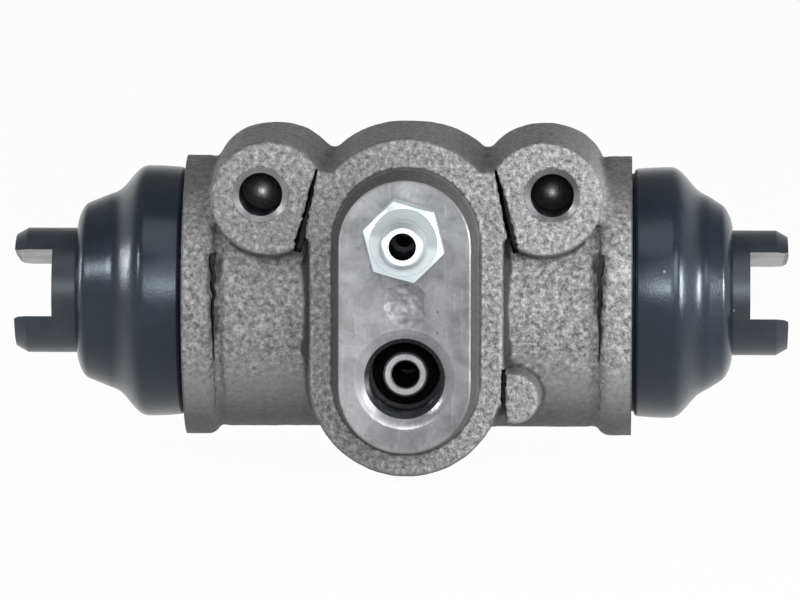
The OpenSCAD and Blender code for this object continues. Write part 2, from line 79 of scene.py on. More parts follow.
CAD_BOX = [list(corner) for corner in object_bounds()]
MOUNTS = {mount["name"]: mount for mount in frame["record"]["mounts"]}
BODY_LOW, BODY_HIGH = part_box("cylinder_body")
PISTON_LOW, PISTON_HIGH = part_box("piston_right")
BORE_MIDDLE = Vector((0, (PISTON_LOW.y + PISTON_HIGH.y) / 2, (PISTON_LOW.z + PISTON_HIGH.z) / 2))
NECK_END = BODY_HIGH.x
PAD_FACE = BODY_LOW.y
MOUNT_FACE = MOUNTS["backing_plate_bolts"]["pos_m"][1]
HOLE_X = MOUNTS["backing_plate_bolts"]["dims"]["spacing_x_mm"] / 2000
PORT_AT = Vector((MOUNTS["inlet_port"]["pos_m"][0], PAD_FACE, MOUNTS["inlet_port"]["pos_m"][2]))
BLEEDER_AT = Vector((MOUNTS["bleeder_nipple"]["pos_m"][0], PAD_FACE, MOUNTS["bleeder_nipple"]["pos_m"][2]))
INWARD = Vector((0, 1, 0))
SIDES = ((-1, "left"), (1, "right"))
# Turn between two faces of a boot or the spring from which their edge is crisp
CRISP_TURN = math.radians(50)
# Width over length of a drill's point
DRILL_SLOPE = math.tan(math.radians(59))
# Height of the hexagon's flat above the pad
HEX_RISE = 0.0081
# Two points, as (x, height above the bore), on the middle line of the groove beside a boss
GROOVE_FOOT = (0.0163, 0.00965)
GROOVE_TOP = (0.0133, 0.0223)
# The rolled edge of a boot's skirt, as (change of radius, distance from the collar)
ROLLED_EDGE = ((-0.0008, 0.00005), (-0.0007, 0.0004), (-0.0005, 0.00045), (-0.00015, 0.0006))


def size(name, about, value, low=0.0):
    """A length that a user may change, in metres."""
    return FloatProperty(name=name, description=about, default=value, unit="LENGTH", precision=5, min=low)


def tone(name, about, value):
    """A finish's colour, as linear red, green and blue."""
    return FloatVectorProperty(
        name=name, description=about, default=value, subtype="COLOR", size=3, min=0.0, max=1.0
    )


def angle(name, about, degrees):
    """A turn of the camera, given in degrees."""
    return FloatProperty(name=name, description=about, default=math.radians(degrees), subtype="ANGLE")


def power(name, about, value):
    """A light's power in watts."""
    return FloatProperty(name=name, description=about, default=value, unit="POWER", min=0.0)


class CastingSizes(bpy.types.PropertyGroup):
    """Sizes of the cast body and of what is machined into it"""

    bore_d: size("Bore", "Diameter of the bore", 0.0254)
    bore_bevel: size("Bore bevel", "Bevel round the mouths of the bore", 0.0008)
    collar_x: size("Collar face", "Distance of each collar's face from the middle", 0.0345)
    collar_d: size("Collar", "Diameter of the collars", 0.0434)
    collar_drop: size("Collar drop", "How far the cast collars lie below the bore", 0.00055)
    neck_d: size("Neck", "Diameter of the necks that carry the boots", 0.0332)
    rim_depth: size("Rim groove", "Depth of the groove that holds a boot's bead", 0.001)
    rim_length: size("Rim groove length", "Length of that groove", 0.0022)
    edge: size("Turned edge", "Bevel of the turned edges", 0.0005)
    bolt_minor: size("Bolt thread, inside", "Tapping size of the bolt holes", 0.00665)
    bolt_major: size("Bolt thread, outside", "Thread size of the bolt holes", 0.008)
    bolt_pitch: size("Bolt pitch", "Pitch of the bolt threads", 0.00125)
    bolt_mouth: size("Bolt mouth", "Countersink of the bolt holes", 0.0083)
    bolt_depth: size("Bolt depth", "Depth of the bolt holes", 0.013)
    port_minor: size("Port thread, inside", "Tapping size of the inlet port", 0.01092)
    port_major: size("Port thread, outside", "Thread size of the inlet port", 0.012)
    port_pitch: size("Port pitch", "Pitch of the inlet thread", 0.001)
    port_mouth: size("Port mouth", "Bevelled mouth of the inlet port", 0.0123)
    port_depth: size("Port depth", "Depth of the inlet port", 0.0115)
    port_relief: size("Port run-out", "Depth of the run-out under the inlet thread", 0.00035)
    spot_d: size("Port countersink", "Wide shallow countersink round the port", 0.0158)
    spot_depth: size("Port countersink depth", "Depth of that countersink", 0.0006)
    seat_d: size("Flare seat", "Flat top of the flare seat", 0.0064)
    seat_height: size("Flare seat height", "Height of the flare seat", 0.005)
    fluid_d: size("Fluid hole", "Hole from the seat to the bore", 0.0042)
    fluid_length: size("Fluid hole length", "Length of that hole past the port's floor", 0.0155)
    bleeder_d: size("Bleeder hole", "Hole for the bleeder", 0.00962)
    bleeder_depth: size("Bleeder depth", "Depth of the bleeder's hole", 0.012)
    passage_d: size("Bleeder passage", "Passage from the bleeder to the bore", 0.00315)
    passage_length: size("Bleeder passage length", "Length of that passage", 0.011)
    dimple_d: size("Dimple", "Width of the dimple in the pad", 0.007)
    dimple_depth: size("Dimple depth", "Depth of the dimple", 0.0008)
    dimple_rise: size("Dimple rise", "Height of the dimple above the bore", 0.0011)
    pad_r: size("Pad radius", "End radius of the machined pad", 0.01)
    pad_rise: size("Pad rise", "Upper end centre of the pad above the bore", 0.0101)
    pad_drop: size("Pad drop", "Lower end centre of the pad below the bore", 0.0115)
    pad_bevel: size("Pad bevel", "Filed edge of the pad", 0.00022)
    groove_high: size("Groove high end", "Upper end of the groove beside a boss, above the bore", 0.021)
    groove_low: size("Groove low end", "Lower end of that groove above the bore", 0.0079)
    groove_top: size("Groove top", "Width of that groove at its top", 0.00045)
    groove_foot: size("Groove foot", "Width of that groove at its foot", 0.00165)
    groove_reach: size("Groove depth", "Depth of that groove", 0.011)
    relief_x: size("Relief", "Distance of the rough relief beside a collar from the middle", 0.0296)
    relief_high: size("Relief high end", "Upper end of that relief above the bore", 0.0077)
    relief_low: size("Relief low end", "Lower end of that relief below the bore", 0.0088)
    relief_top: size("Relief top", "Width of that relief at its top", 0.0014)
    relief_foot: size("Relief foot", "Width of that relief at its foot", 0.0002)
    relief_reach: size("Relief depth", "Depth of that relief", 0.0055)
    relief_stray: size("Relief stray", "How far that relief wanders to its sides", 0.0003)
    lug_x: size("Lug slit", "Distance of the slit beside the lug from the middle", 0.0149)
    lug_high: size("Lug slit high end", "Upper end of that slit below the bore", 0.0096)
    lug_low: size("Lug slit low end", "Lower end of that slit below the bore", 0.0186)
    lug_gap: size("Lug gap", "Width of that slit", 0.00078)
    lug_reach: size("Lug slit depth", "Depth of that slit", 0.006)
    grid: size("Skin grid", "Grid that the cast skin is worked out on", 0.00043)
    swell: size("Skin swell", "Height of the slow waves in the cast skin", 0.00005)
    pimple: size("Skin pimples", "Height of the small bumps in the cast skin", 0.00004)
    rounding: IntProperty(name="Rounding", description="Passes that round the corners", default=3, min=0)


class BootSizes(bpy.types.PropertyGroup):
    """Sizes of the rubber boots"""

    skirt_d: size("Skirt", "Largest diameter of a boot", 0.039)
    skirt_taper: size("Skirt taper", "How much the skirt's radius narrows towards its collar", 0.00035)
    fall_start: size("Fall start", "Distance from the collar at which a boot starts to fall", 0.0062)
    fall_length: size("Fall length", "Length of the fall from there to the waist", 0.0053)
    ease: size("Ease", "How much earlier and later the fall eases in and out", 0.0005)
    waist_d: size("Waist", "Diameter at the waist", 0.0305)
    nose_d: size("Nose", "Diameter where the nose starts to round", 0.0274)
    nose_round: size("Nose rounding", "Length of the rounded nose", 0.0017)
    stem_d: size("Stem", "Diameter of the stem in the boot", 0.0194)
    lip: size("Lip", "Length of the lip in the stem's groove", 0.0018)
    gap: size("Gap", "Space between a boot and what it is pushed on", 0.0001)
    wall: size("Wall", "Thickness of the rubber", 0.0015)
    held_skirt: size("Held skirt", "Length of the skirt that stays with the body", 0.0065)
    held_nose: size("Held nose", "Length of the nose that stays with the piston", 0.0024)


class SpringSizes(bpy.types.PropertyGroup):
    """Sizes of the spring between the seals"""

    wire_d: size("Wire", "Diameter of the wire", 0.0012)
    coil_d: size("Coil", "Mean diameter of the coil", 0.009)
    turns: IntProperty(name="Turns", description="Turns of the coil", default=7, min=2)


class FinishColours(bpy.types.PropertyGroup):
    """Colours of the finishes"""

    # Also the colour of the painted shade in hollows, in creases and on the left side.
    iron_dark: tone("Cast iron, pits", "Pits of the cast skin", (0.11, 0.11, 0.113))
    iron_mid: tone("Cast iron", "Cast skin", (0.297, 0.297, 0.3))
    # Also the colour of the painted highlight on edges.
    iron_bright: tone("Cast iron, crests", "Bright crests of the cast skin", (0.54, 0.54, 0.545))
    # Walls are smoother and darker than the faces; the darkness is partly painted shade.
    iron_wall: tone("Cast iron, walls", "Smoother side walls of the casting", (0.116, 0.115, 0.114))
    machined: tone("Machined iron", "Milled and drilled faces", (0.222, 0.224, 0.232))
    # Painted shade: holes, slits and crevices get this near-black colour for the shade inside them.
    deep: tone("Deep holes", "Oily dark inside of holes and crevices", (0.012, 0.013, 0.015))
    rubber: tone("Rubber", "Rubber of the boots and seals", (0.009, 0.0125, 0.018))
    piston: tone("Blackened piston", "Dark coat of the pistons", (0.029, 0.0365, 0.0455))
    slot: tone("Slot", "Bare metal in the slots", (0.29, 0.29, 0.29))
    zinc: tone("Zinc plate", "Bright plate of the bleeder", (0.72, 0.77, 0.78))
    wire: tone("Spring wire", "Drawn wire of the spring", (0.36, 0.37, 0.39))
    dust: tone("Dust", "Specks of dust", (0.3, 0.32, 0.34))
    floor: tone("Floor", "Pale floor", (0.86, 0.86, 0.86))


class StageSizes(bpy.types.PropertyGroup):
    """Camera and light"""

    distance: size("Camera distance", "Distance from the bore's middle", 1.2)
    azimuth: angle("Azimuth", "Camera's turn to the right", 1.45)
    elevation: angle("Elevation", "Camera's height", 6.0)
    roll: angle("Roll", "Camera's lean", 0.1)
    lens: FloatProperty(name="Lens", description="Focal length in millimetres", default=347.0, min=20.0)
    aim_right: size("Aim right", "Aim to the right of the bore's middle", -0.0015, -1.0)
    aim_up: size("Aim up", "Aim above the bore's middle", -0.00135, -1.0)
    key: power("Key light", "Small light near the camera", 1.3)
    front: power("Front light", "Broad light in front", 3.9)
    high: power("High light", "Light above", 1.0)
    side: power("Side light", "Soft light on the right", 0.55)
    fill: power("Fill light", "Soft light on the left", 1.0)
    left_strip: power("Left strip", "Light beside the left boot", 0.36)
    right_strip: power("Right strip", "Light beside the right boot", 1.8)
    sky: FloatProperty(name="Sky", description="Level of the light from all round", default=0.28, min=0.0)


def values(group):
    """One of the groups of values above, as it stands in the scene."""
    return getattr(bpy.context.scene, f"wheel_{group}")


# Shapes, each as points, faces and the number of each face's finish


def ramp(at, start, end):
    """0 before start and 1 past end, with an even rise between them."""
    return np.clip((at - start) / (end - start), 0, 1)


def put_mesh(name, points, faces, materials=(), bands=None):
    """A mesh from an array of points and a list of arrays of corner numbers, one for each number of corners.

    Bands give each face the number of its material.
    """
    mesh = bpy.data.meshes.new(name)
    counts = np.concatenate([np.full(len(f), f.shape[1]) for f in faces])
    corners = np.concatenate([f.ravel() for f in faces])
    mesh.vertices.add(len(points))
    mesh.vertices.foreach_set("co", np.asarray(points, np.float32).ravel())
    mesh.loops.add(len(corners))
    mesh.loops.foreach_set("vertex_index", corners.astype(np.int32))
    mesh.polygons.add(len(counts))
    starts = np.concatenate([[0], np.cumsum(counts)[:-1]])
    mesh.polygons.foreach_set("loop_start", starts.astype(np.int32))
    mesh.polygons.foreach_set("use_smooth", np.ones(len(counts), bool))
    mesh.update(calc_edges=True)
    mesh.validate()
    for material in materials:
        mesh.materials.append(material)
    if bands is not None:
        mesh.polygons.foreach_set("material_index", np.asarray(bands, np.int32))
    return mesh


def put_piece(name, mesh):
    """An object at the origin that shows a mesh."""
    piece = bpy.data.objects.new(name, mesh)
    bpy.context.scene.collection.objects.link(piece)
    return piece


def ring_quads(index):
    """Faces between each row of point numbers and the next, closed round."""
    low, high = index[:-1], index[1:]
    return np.stack([low, np.roll(low, -1, 1), np.roll(high, -1, 1), high], -1).reshape(-1, 4)


def tube(rings, bands=None):
    """A closed shape from rows of points: faces between the rows, and a cap on the first and on the last.

    Bands number the finish of each stretch between two rows. The caps have the first finish.
    """
    rows, turns = rings.shape[:2]
    index = np.arange(rows * turns).reshape(rows, turns)
    bands = np.zeros(rows - 1, int) if bands is None else bands
    faces = [ring_quads(index), index[:1, ::-1], index[-1:]]
    return rings.reshape(-1, 3), faces, np.r_[np.repeat(bands, turns), 0, 0]


def frame_round(axis):
    """Two directions square to an axis, so that first, second and axis are right-handed."""
    axis = np.asarray(axis, float) / np.linalg.norm(axis)
    first = np.cross([0.0, 0.0, 1.0] if abs(axis[2]) < 0.9 else [1.0, 0.0, 0.0], axis)
    first /= np.linalg.norm(first)
    return axis, first, np.cross(axis, first)


def threaded(profile, bands, thread):
    """Adds the points of a thread, eight to a pitch, to the straight wall that carries it.

    Returns the profile, its bands and the wall's radius.
    """
    start, end, pitch, _ = thread
    steps = np.arange(start, end, pitch / 8)
    straight = np.isclose(profile[:-1, 0], profile[1:, 0])
    wall = np.flatnonzero(straight & (profile[:-1, 1] <= start) & (profile[1:, 1] >= end))[0]
    radius = profile[wall, 0]
    added = np.column_stack([np.full(len(steps), radius), steps])
    bands = np.insert(bands, wall, np.full(len(steps), bands[wall]))
    return np.vstack([profile[: wall + 1], added, profile[wall + 1 :]]), bands, radius


def thread_wave(distance, v, thread):
    """A thread's reach: its depth times a blunt triangle wave of distance / pitch - v / 2 pi.

    It fades in and out over one pitch.
    """
    start, end, pitch, depth = thread
    crest, steepness = 1.25, 1.5
    fade = ramp(distance, start, start + pitch) * ramp(distance, end, end - pitch)
    wave = (distance / pitch - v / (2 * np.pi)) % 1.0
    return depth * np.clip(crest - steepness * np.abs(2 * wave - 1), 0, 1) * fade


def revolve(profile, foot, axis, turns=96, thread=None, loop=False, bands=None):
    """Carries a profile of (radius, distance) round an axis.

    With v all round, a point lies at foot + distance * axis + radius * (cos v * first + sin v * second).
    A thread, as (start, end, pitch, depth), adds its wave to the radius. A profile starts and ends on the
    axis and gets a pole at each end, or is a loop whose last ring joins its first. Bands number the finish
    of each stretch.
    """
    profile = np.asarray(profile, float)
    bands = np.zeros(len(profile) - 1, int) if bands is None else np.asarray(bands)
    v = 2 * np.pi * np.arange(turns) / turns
    if thread:
        profile, bands, wall = threaded(profile, bands, thread)
    radius = np.repeat(profile[:, :1], turns, 1)
    if thread:
        radius = radius + np.isclose(radius, wall) * thread_wave(profile[:, 1:], v, thread)
    axis, first, second = frame_round(axis)
    ring = np.cos(v)[:, None] * first + np.sin(v)[:, None] * second
    points = np.asarray(foot, float) + profile[:, 1, None, None] * axis + radius[..., None] * ring
    if loop:
        index = np.arange(len(profile) * turns).reshape(-1, turns)
        quads = ring_quads(np.vstack([index, index[:1]]))
        return points.reshape(-1, 3), [quads], np.zeros(len(quads), int)
    inner = points[1:-1].reshape(-1, 3)
    index = np.arange(len(inner)).reshape(-1, turns)
    first_pole, last_pole = np.full(turns, len(inner)), np.full(turns, len(inner) + 1)
    first_fan = np.stack([first_pole, np.roll(index[0], -1), index[0]], -1)
    last_fan = np.stack([last_pole, index[-1], np.roll(index[-1], -1)], -1)
    finish = np.repeat(np.r_[bands[1:-1], bands[0], bands[-1]], turns)
    return np.vstack([inner, points[0, :1], points[-1, :1]]), [ring_quads(index), first_fan, last_fan], finish


def plug(foot, axis, radius, start, end, turns=96):
    """A plain round solid along an axis."""
    return revolve([(0, start), (radius, start), (radius, end), (0, end)], foot, axis, turns)


def pad_solid(profile, bands=(0, 0), turns=128):
    """A closed solid from rings of (height above the pad's face, distance from its middle line).

    The middle line joins the centres of the pad's round ends. With v all round, a point lies at
    centre + distance * (cos v, sin v) in x and z, from the upper centre where sin v >= 0, else the lower.
    """
    casting = values("casting")
    v = 2 * np.pi * np.arange(turns) / turns
    middle = np.where(np.sin(v) >= 0, casting.pad_rise, -casting.pad_drop) + BORE_MIDDLE.z
    height, reach = np.array(profile).T[..., None]
    rings = np.broadcast_arrays(reach * np.cos(v), PAD_FACE - height, middle + reach * np.sin(v))
    return tube(np.stack(rings, -1), bands)


def slit(foot, top, widths, depth, seed, stray=0.00012, lift=0.001, stations=72):
    """A narrow closed wedge, cut into the mounting face along a line from foot to top, given as (x, z).

    Station t lies at foot + t * (top - foot) and strays sideways by a smooth wave. The width goes from
    the first to the second along t, with two finer waves as its ragged edge, and falls to half at the
    wedge's depth. The level is where in the waves' lattice the line runs.
    """
    level, stray_cell, coarse_cell, fine_cell, coarse, fine = 0.01, 0.0013, 0.0009, 0.00042, 0.2, 0.35
    t = np.linspace(0, 1, stations)[:, None]
    foot, top = np.array(foot), np.array(top)
    along = (top - foot) / np.linalg.norm(top - foot)
    across = np.array([along[1], -along[0]])
    line = foot + t * (top - foot)
    spots = np.insert(line, 1, level, axis=1)
    line = line + across * (stray * waves(spots, stray_cell, seed))[:, None]
    ragged = coarse * waves(spots, coarse_cell, seed + 1) + fine * waves(spots, fine_cell, seed + 2)
    half = (widths[0] + t * (widths[1] - widths[0])) / 2 * (1 + ragged[:, None])
    corners = ((-1, -lift), (1, -lift), (0.5, depth), (-0.5, depth))
    edges = [np.insert(line + share * half * across, 1, MOUNT_FACE + y, axis=1) for share, y in corners]
    return tube(np.stack(edges, 1))


def joined(shapes):
    """The points and faces of several shapes together, with no welding."""
    points, faces, count = [], [], 0
    for shape in shapes:
        points.append(shape[0])
        faces += [f + count for f in shape[1]]
        count += len(shape[0])
    return np.vstack(points), faces


def waves(points, cell, seed, count=48):
    """Smooth random heights from -1 to 1.

    Random numbers on a cubic lattice with that cell, which repeats after count cells, are blended by
    t * t * (3 - 2 t).
    """
    lattice = np.random.default_rng(seed).uniform(-1, 1, (count, count, count))
    spots = points / cell
    base = np.floor(spots).astype(int)
    part = spots - base
    part = part * part * (3 - 2 * part)
    total = np.zeros(len(points))
    for corner in np.ndindex(2, 2, 2):
        share = np.prod(np.where(np.array(corner), part, 1 - part), axis=1)
        total += share * lattice[tuple(((base + corner) % count).T)]
    return total


# Work on meshes


def read(items, name, kind, width=1):
    """One property of all items of a mesh, as an array."""
    found = np.empty(len(items) * width, kind)
    items.foreach_get(name, found)
    return found.reshape(-1, width) if width > 1 else found


def neighbour_mean(points, edges):
    """The mean of each point's neighbours."""
    a, b = edges.T
    number = len(points)
    count = np.bincount(a, minlength=number) + np.bincount(b, minlength=number)
    total = [np.bincount(a, column[b], number) + np.bincount(b, column[a], number) for column in points.T]
    return np.stack(total, 1) / np.maximum(count, 1)[:, None]


def smoothed(marks, edges, passes):
    """One value for each point, brought half way to the mean of its neighbours in each pass."""
    marks = marks[:, None]
    for _ in range(passes):
        marks = 0.5 * marks + 0.5 * neighbour_mean(marks, edges)
    return marks[:, 0]


def evaluated(piece):
    """A new mesh of the piece with its modifiers applied."""
    bpy.context.view_layer.update()
    return bpy.data.meshes.new_from_object(piece.evaluated_get(bpy.context.evaluated_depsgraph_get()))


def swap_mesh(piece, mesh):
    """Gives the piece another mesh, with no modifiers, and drops the old one."""
    old = piece.data
    piece.modifiers.clear()
    piece.data = mesh
    bpy.data.meshes.remove(old)


def cut(piece, shape, *materials):
    """Takes a closed shape out of the piece. The cut faces get the materials, by the shape's bands."""
    points, faces, bands = shape
    tool = put_piece("cutter", put_mesh("cutter", points, faces, materials, bands))
    before = len(piece.data.polygons)
    for solver in ("MANIFOLD", "EXACT"):
        change = piece.modifiers.new("cut", "BOOLEAN")
        change.operation = "DIFFERENCE"
        change.solver = solver
        change.material_mode = "TRANSFER"
        change.object = tool
        made = evaluated(piece)
        piece.modifiers.clear()
        if len(made.polygons) > 0.5 * before and len(made.polygons) != before:
            break
        bpy.data.meshes.remove(made)
    else:
        raise RuntimeError("a cut in the casting failed")
    swap_mesh(piece, made)
    mesh = tool.data
    bpy.data.objects.remove(tool)
    bpy.data.meshes.remove(mesh)


def crisp_edges(mesh, bend=40, level=0.9998):
    """Marks the sharp edges: where two finishes meet, where a milled plane ends, and at sharp bends.

    A bend is sharp over that many degrees, and a face is a plane where its normal's y is above level.
    """
    edge_of = read(mesh.loops, "edge_index", np.int32)
    totals = read(mesh.polygons, "loop_total", np.int32)
    finish = read(mesh.polygons, "material_index", np.int32)
    normals = read(mesh.polygons, "normal", np.float32, 3)
    if len(edge_of) != 2 * len(mesh.edges):
        raise RuntimeError("the casting isn't closed")
    face_of = np.repeat(np.arange(len(totals)), totals)
    one, two = face_of[np.argsort(edge_of, kind="stable")].reshape(-1, 2).T
    plane = np.abs(normals[:, 1]) > level
    bent = np.einsum("ij,ij->i", normals[one], normals[two]) < math.cos(math.radians(bend))
    milled_end = (plane[one] != plane[two]) & (finish[one] > 0) & (finish[two] > 0)
    mesh.edges.foreach_set("use_edge_sharp", bent | milled_end | (finish[one] != finish[two]))


# Nodes


def put(tree, kind, sockets=None, **settings):
    """Adds a node, sets its values, and links each socket that is given another node's output."""
    made = tree.nodes.new(kind)
    for key, value in settings.items():
        setattr(made, key, value)
    for key, value in (sockets or {}).items():
        if isinstance(value, bpy.types.NodeSocket):
            tree.links.new(value, made.inputs[key])
        else:
            made.inputs[key].default_value = value
    return made


def math_node(tree, operation, a, b=0.0, c=None, clamp=False):
    """One step of arithmetic."""
    sockets = {0: a, 1: b}
    if c is not None:
        sockets[2] = c
    return put(tree, "ShaderNodeMath", sockets, operation=operation, use_clamp=clamp).outputs[0]


def times(tree, a, b):
    """One value times another."""
    return math_node(tree, "MULTIPLY", a, b)


def between(tree, value, low, high, to_low=0.0, to_high=1.0):
    """A value brought smoothly from one range to another."""
    sockets = {0: value, 1: low, 2: high, 3: to_low, 4: to_high}
    return put(tree, "ShaderNodeMapRange", sockets, interpolation_type="SMOOTHSTEP").outputs[0]


def mixed(tree, share, a, b):
    """One colour shading into another."""
    return put(tree, "ShaderNodeMix", {0: share, 6: a, 7: b}, data_type="RGBA").outputs[2]


def shade(colour, share=1.0):
    """A colour times a share, as the nodes take it."""
    return (*(share * part for part in colour), 1.0)


def shades(tree, share, colour, low, high):
    """One colour, from low times to high times itself."""
    return mixed(tree, share, shade(colour, low), shade(colour, high))


def noise(tree, place, scale, detail=2.0, roughness=0.5, distortion=0.0):
    """Smooth noise, scale waves to a metre."""
    sockets = {"Vector": place, "Scale": scale, "Detail": detail, "Roughness": roughness}
    return put(tree, "ShaderNodeTexNoise", {**sockets, "Distortion": distortion}).outputs["Fac"]


def vector_node(tree, operation, a, b=(0.0, 0.0, 0.0), out="Vector"):
    """One step of arithmetic on vectors."""
    return put(tree, "ShaderNodeVectorMath", {0: a, 1: b}, operation=operation).outputs[out]


def parts_of(tree, vector):
    """The x, y and z of a vector."""
    return put(tree, "ShaderNodeSeparateXYZ", {0: vector}).outputs


def attribute(tree, name):
    """A value that the mesh holds for each of its points."""
    return put(tree, "ShaderNodeAttribute", attribute_name=name).outputs["Fac"]


def new_group(name, numbers, outs):
    """A shader node group that takes a vector and named numbers, and puts out named values."""
    group = bpy.data.node_groups.new(name, "ShaderNodeTree")
    group.interface.new_socket("Vector", in_out="INPUT", socket_type="NodeSocketVector")
    for label, default in numbers.items():
        made = group.interface.new_socket(label, in_out="INPUT", socket_type="NodeSocketFloat")
        made.default_value = default
    for label in outs:
        group.interface.new_socket(label, in_out="OUTPUT", socket_type="NodeSocketFloat")
    return group, group.nodes.new("NodeGroupInput").outputs, group.nodes.new("NodeGroupOutput").inputs


def rough_grain():
    """Fine noise and round pits, as Grain from 0 in the pits to 1 on the crests, with slow Patches."""
    group, into, out = new_group("rough_grain", {"Fineness": 1500.0, "Pits": 0.5}, ("Grain", "Patches"))
    place, fineness = into["Vector"], into["Fineness"]
    fine = noise(group, place, fineness, 2.5, 0.6)
    sockets = {"Vector": place, "Scale": fineness}
    cells = put(group, "ShaderNodeTexVoronoi", sockets, feature="SMOOTH_F1")
    cells.inputs["Smoothness"].default_value = 0.6
    slow = noise(group, place, times(group, fineness, 0.09), 3.0)
    pits = between(group, cells.outputs["Distance"], 0.15, 0.75, 1.0, 0.0)
    kept = times(group, math_node(group, "SUBTRACT", pits, 0.5), into["Pits"])
    total = math_node(group, "ADD", between(group, fine, 0.3, 0.7), kept, clamp=True)
    group.links.new(total, out["Grain"])
    group.links.new(between(group, slow, 0.35, 0.65), out["Patches"])
    return group


def dust_specks():
    """Small round Specks in a share of the cells of a lattice, with a cloudy Bloom, both from 0 to 1."""
    numbers = {"Cells": 260.0, "Share": 0.35, "Radius": 0.07}
    group, into, out = new_group("dust_specks", numbers, ("Specks", "Bloom"))
    place = into["Vector"]
    cells = put(group, "ShaderNodeTexVoronoi", {"Vector": place, "Scale": into["Cells"]}).outputs
    draw = put(group, "ShaderNodeSeparateColor", {0: cells["Color"]}).outputs[0]
    chosen = math_node(group, "LESS_THAN", draw, into["Share"])
    spot = math_node(group, "LESS_THAN", cells["Distance"], into["Radius"])
    cloud = noise(group, place, times(group, into["Cells"], 0.6), 4.0, 0.6)
    group.links.new(times(group, chosen, spot), out["Specks"])
    group.links.new(between(group, cloud, 0.35, 0.7), out["Bloom"])
    return group


def effect(tree, maker, place, **numbers):
    """One use of a shared effect with its own values. Its node group is built the first time."""
    group = bpy.data.node_groups.get(maker.__name__) or maker()
    sockets = {name.capitalize(): number for name, number in numbers.items()}
    return put(tree, "ShaderNodeGroup", {"Vector": place, **sockets}, node_tree=group).outputs


# Materials. Their scales, fineness and cells count waves or spots to a metre


def start_material(name, **plain):
    """A material with its Principled shader and Object coordinates. Plain values go on its sockets."""
    names = {"metallic": "Metallic", "specular": "Specular IOR Level", "tint": "Specular Tint"}
    material = bpy.data.materials.new(name)
    material.use_nodes = True
    tree = material.node_tree
    tree.nodes.clear()
    shader = put(tree, "ShaderNodeBsdfPrincipled", {names[key]: value for key, value in plain.items()})
    put(tree, "ShaderNodeOutputMaterial", {"Surface": shader.outputs[0]})
    return material, tree, shader, put(tree, "ShaderNodeTexCoord").outputs["Object"]


def dress(tree, shader, colour, roughness, height=None, depth=0.0):
    """Links a colour, a roughness and a fine relief to the shader. The relief's depth is in metres."""
    tree.links.new(colour, shader.inputs["Base Color"])
    tree.links.new(roughness, shader.inputs["Roughness"])
    if height is not None:
        relief = put(tree, "ShaderNodeBump", {"Height": height, "Distance": depth, "Strength": 1.0})
        tree.links.new(relief.outputs[0], shader.inputs["Normal"])


def iron_material():
    """Rough cast iron: speckled faces, smoother walls, painted shade in hollows, painted highlight and some
    wear on edges.

    It reads the casting's attributes front, hollow and plain. The walls are darker, partly as painted shade.
    The left side is darker as painted shade, and the pad's wall, in front of the mounting face, is darker
    still.
    """
    colours = values("finish")
    dark, bright = colours.iron_dark, colours.iron_bright
    material, tree, shader, place = start_material("cast_iron_skin", metallic=0.2, specular=0.18)
    fine = noise(tree, place, 1200.0, 4.0, 0.74)
    pits = effect(tree, dust_specks, place, cells=850.0, share=0.06, radius=0.3)
    pit_depth = times(tree, pits["Specks"], 0.3)
    pitted = math_node(tree, "SUBTRACT", between(tree, fine, 0.28, 0.72), pit_depth, clamp=True)
    plain = times(tree, attribute(tree, "plain"), 0.65)
    value = math_node(tree, "MULTIPLY_ADD", math_node(tree, "SUBTRACT", 0.5, pitted), plain, pitted)
    faces = attribute(tree, "front")
    rough = between(tree, faces, 0.5, 0.93)
    low = mixed(tree, between(tree, value, 0.0, 0.5), shade(dark), shade(colours.iron_mid))
    speckled = mixed(tree, between(tree, value, 0.5, 1.0), low, shade(bright))
    # Walls take the darker wall colour, partly painted shade on walls turned from the light.
    wall = shades(tree, between(tree, fine, 0.3, 0.7), colours.iron_wall, 0.82, 1.18)
    cast = mixed(tree, math_node(tree, "MULTIPLY_ADD", rough, 0.85, 0.12), wall, speckled)
    patched = mixed(tree, times(tree, pits["Bloom"], 0.15), cast, shade(dark))
    hollow = attribute(tree, "hollow")
    # Painted shade: hollows and creases darken towards a quarter of the pit colour, where shade falls.
    hollow_shaded = mixed(tree, between(tree, hollow, 0.5, 1.25, 0.0, 0.9), patched, shade(dark, 0.25))
    # Painted highlight, with some wear: edges, where hollow is below 0, lighten towards the crest colour.
    edge_wear_and_highlight = mixed(tree, between(tree, hollow, -0.4, -1.1, 0.0, 0.25), hollow_shaded, shade(bright))
    spot = parts_of(tree, place)
    wall_foot, wall_full = MOUNT_FACE - 0.0004, MOUNT_FACE - 0.0016
    # Painted shade: the faces darken towards the left, where less light falls.
    left_side_shade = times(tree, between(tree, spot["X"], -0.006, 0.02, 0.24, 0.0), faces)
    left_side_shaded = mixed(tree, left_side_shade, edge_wear_and_highlight, shade(dark))
    raised = between(tree, spot["Y"], wall_foot, wall_full, 0.0, 0.8)
    colour = mixed(tree, raised, left_side_shaded, shade(dark, 0.6))
    height = times(tree, value, math_node(tree, "MULTIPLY_ADD", rough, 0.85, 0.15))
    dress(tree, shader, colour, between(tree, value, 0.0, 1.0, 0.78, 0.56), height, 0.00013)
    return material


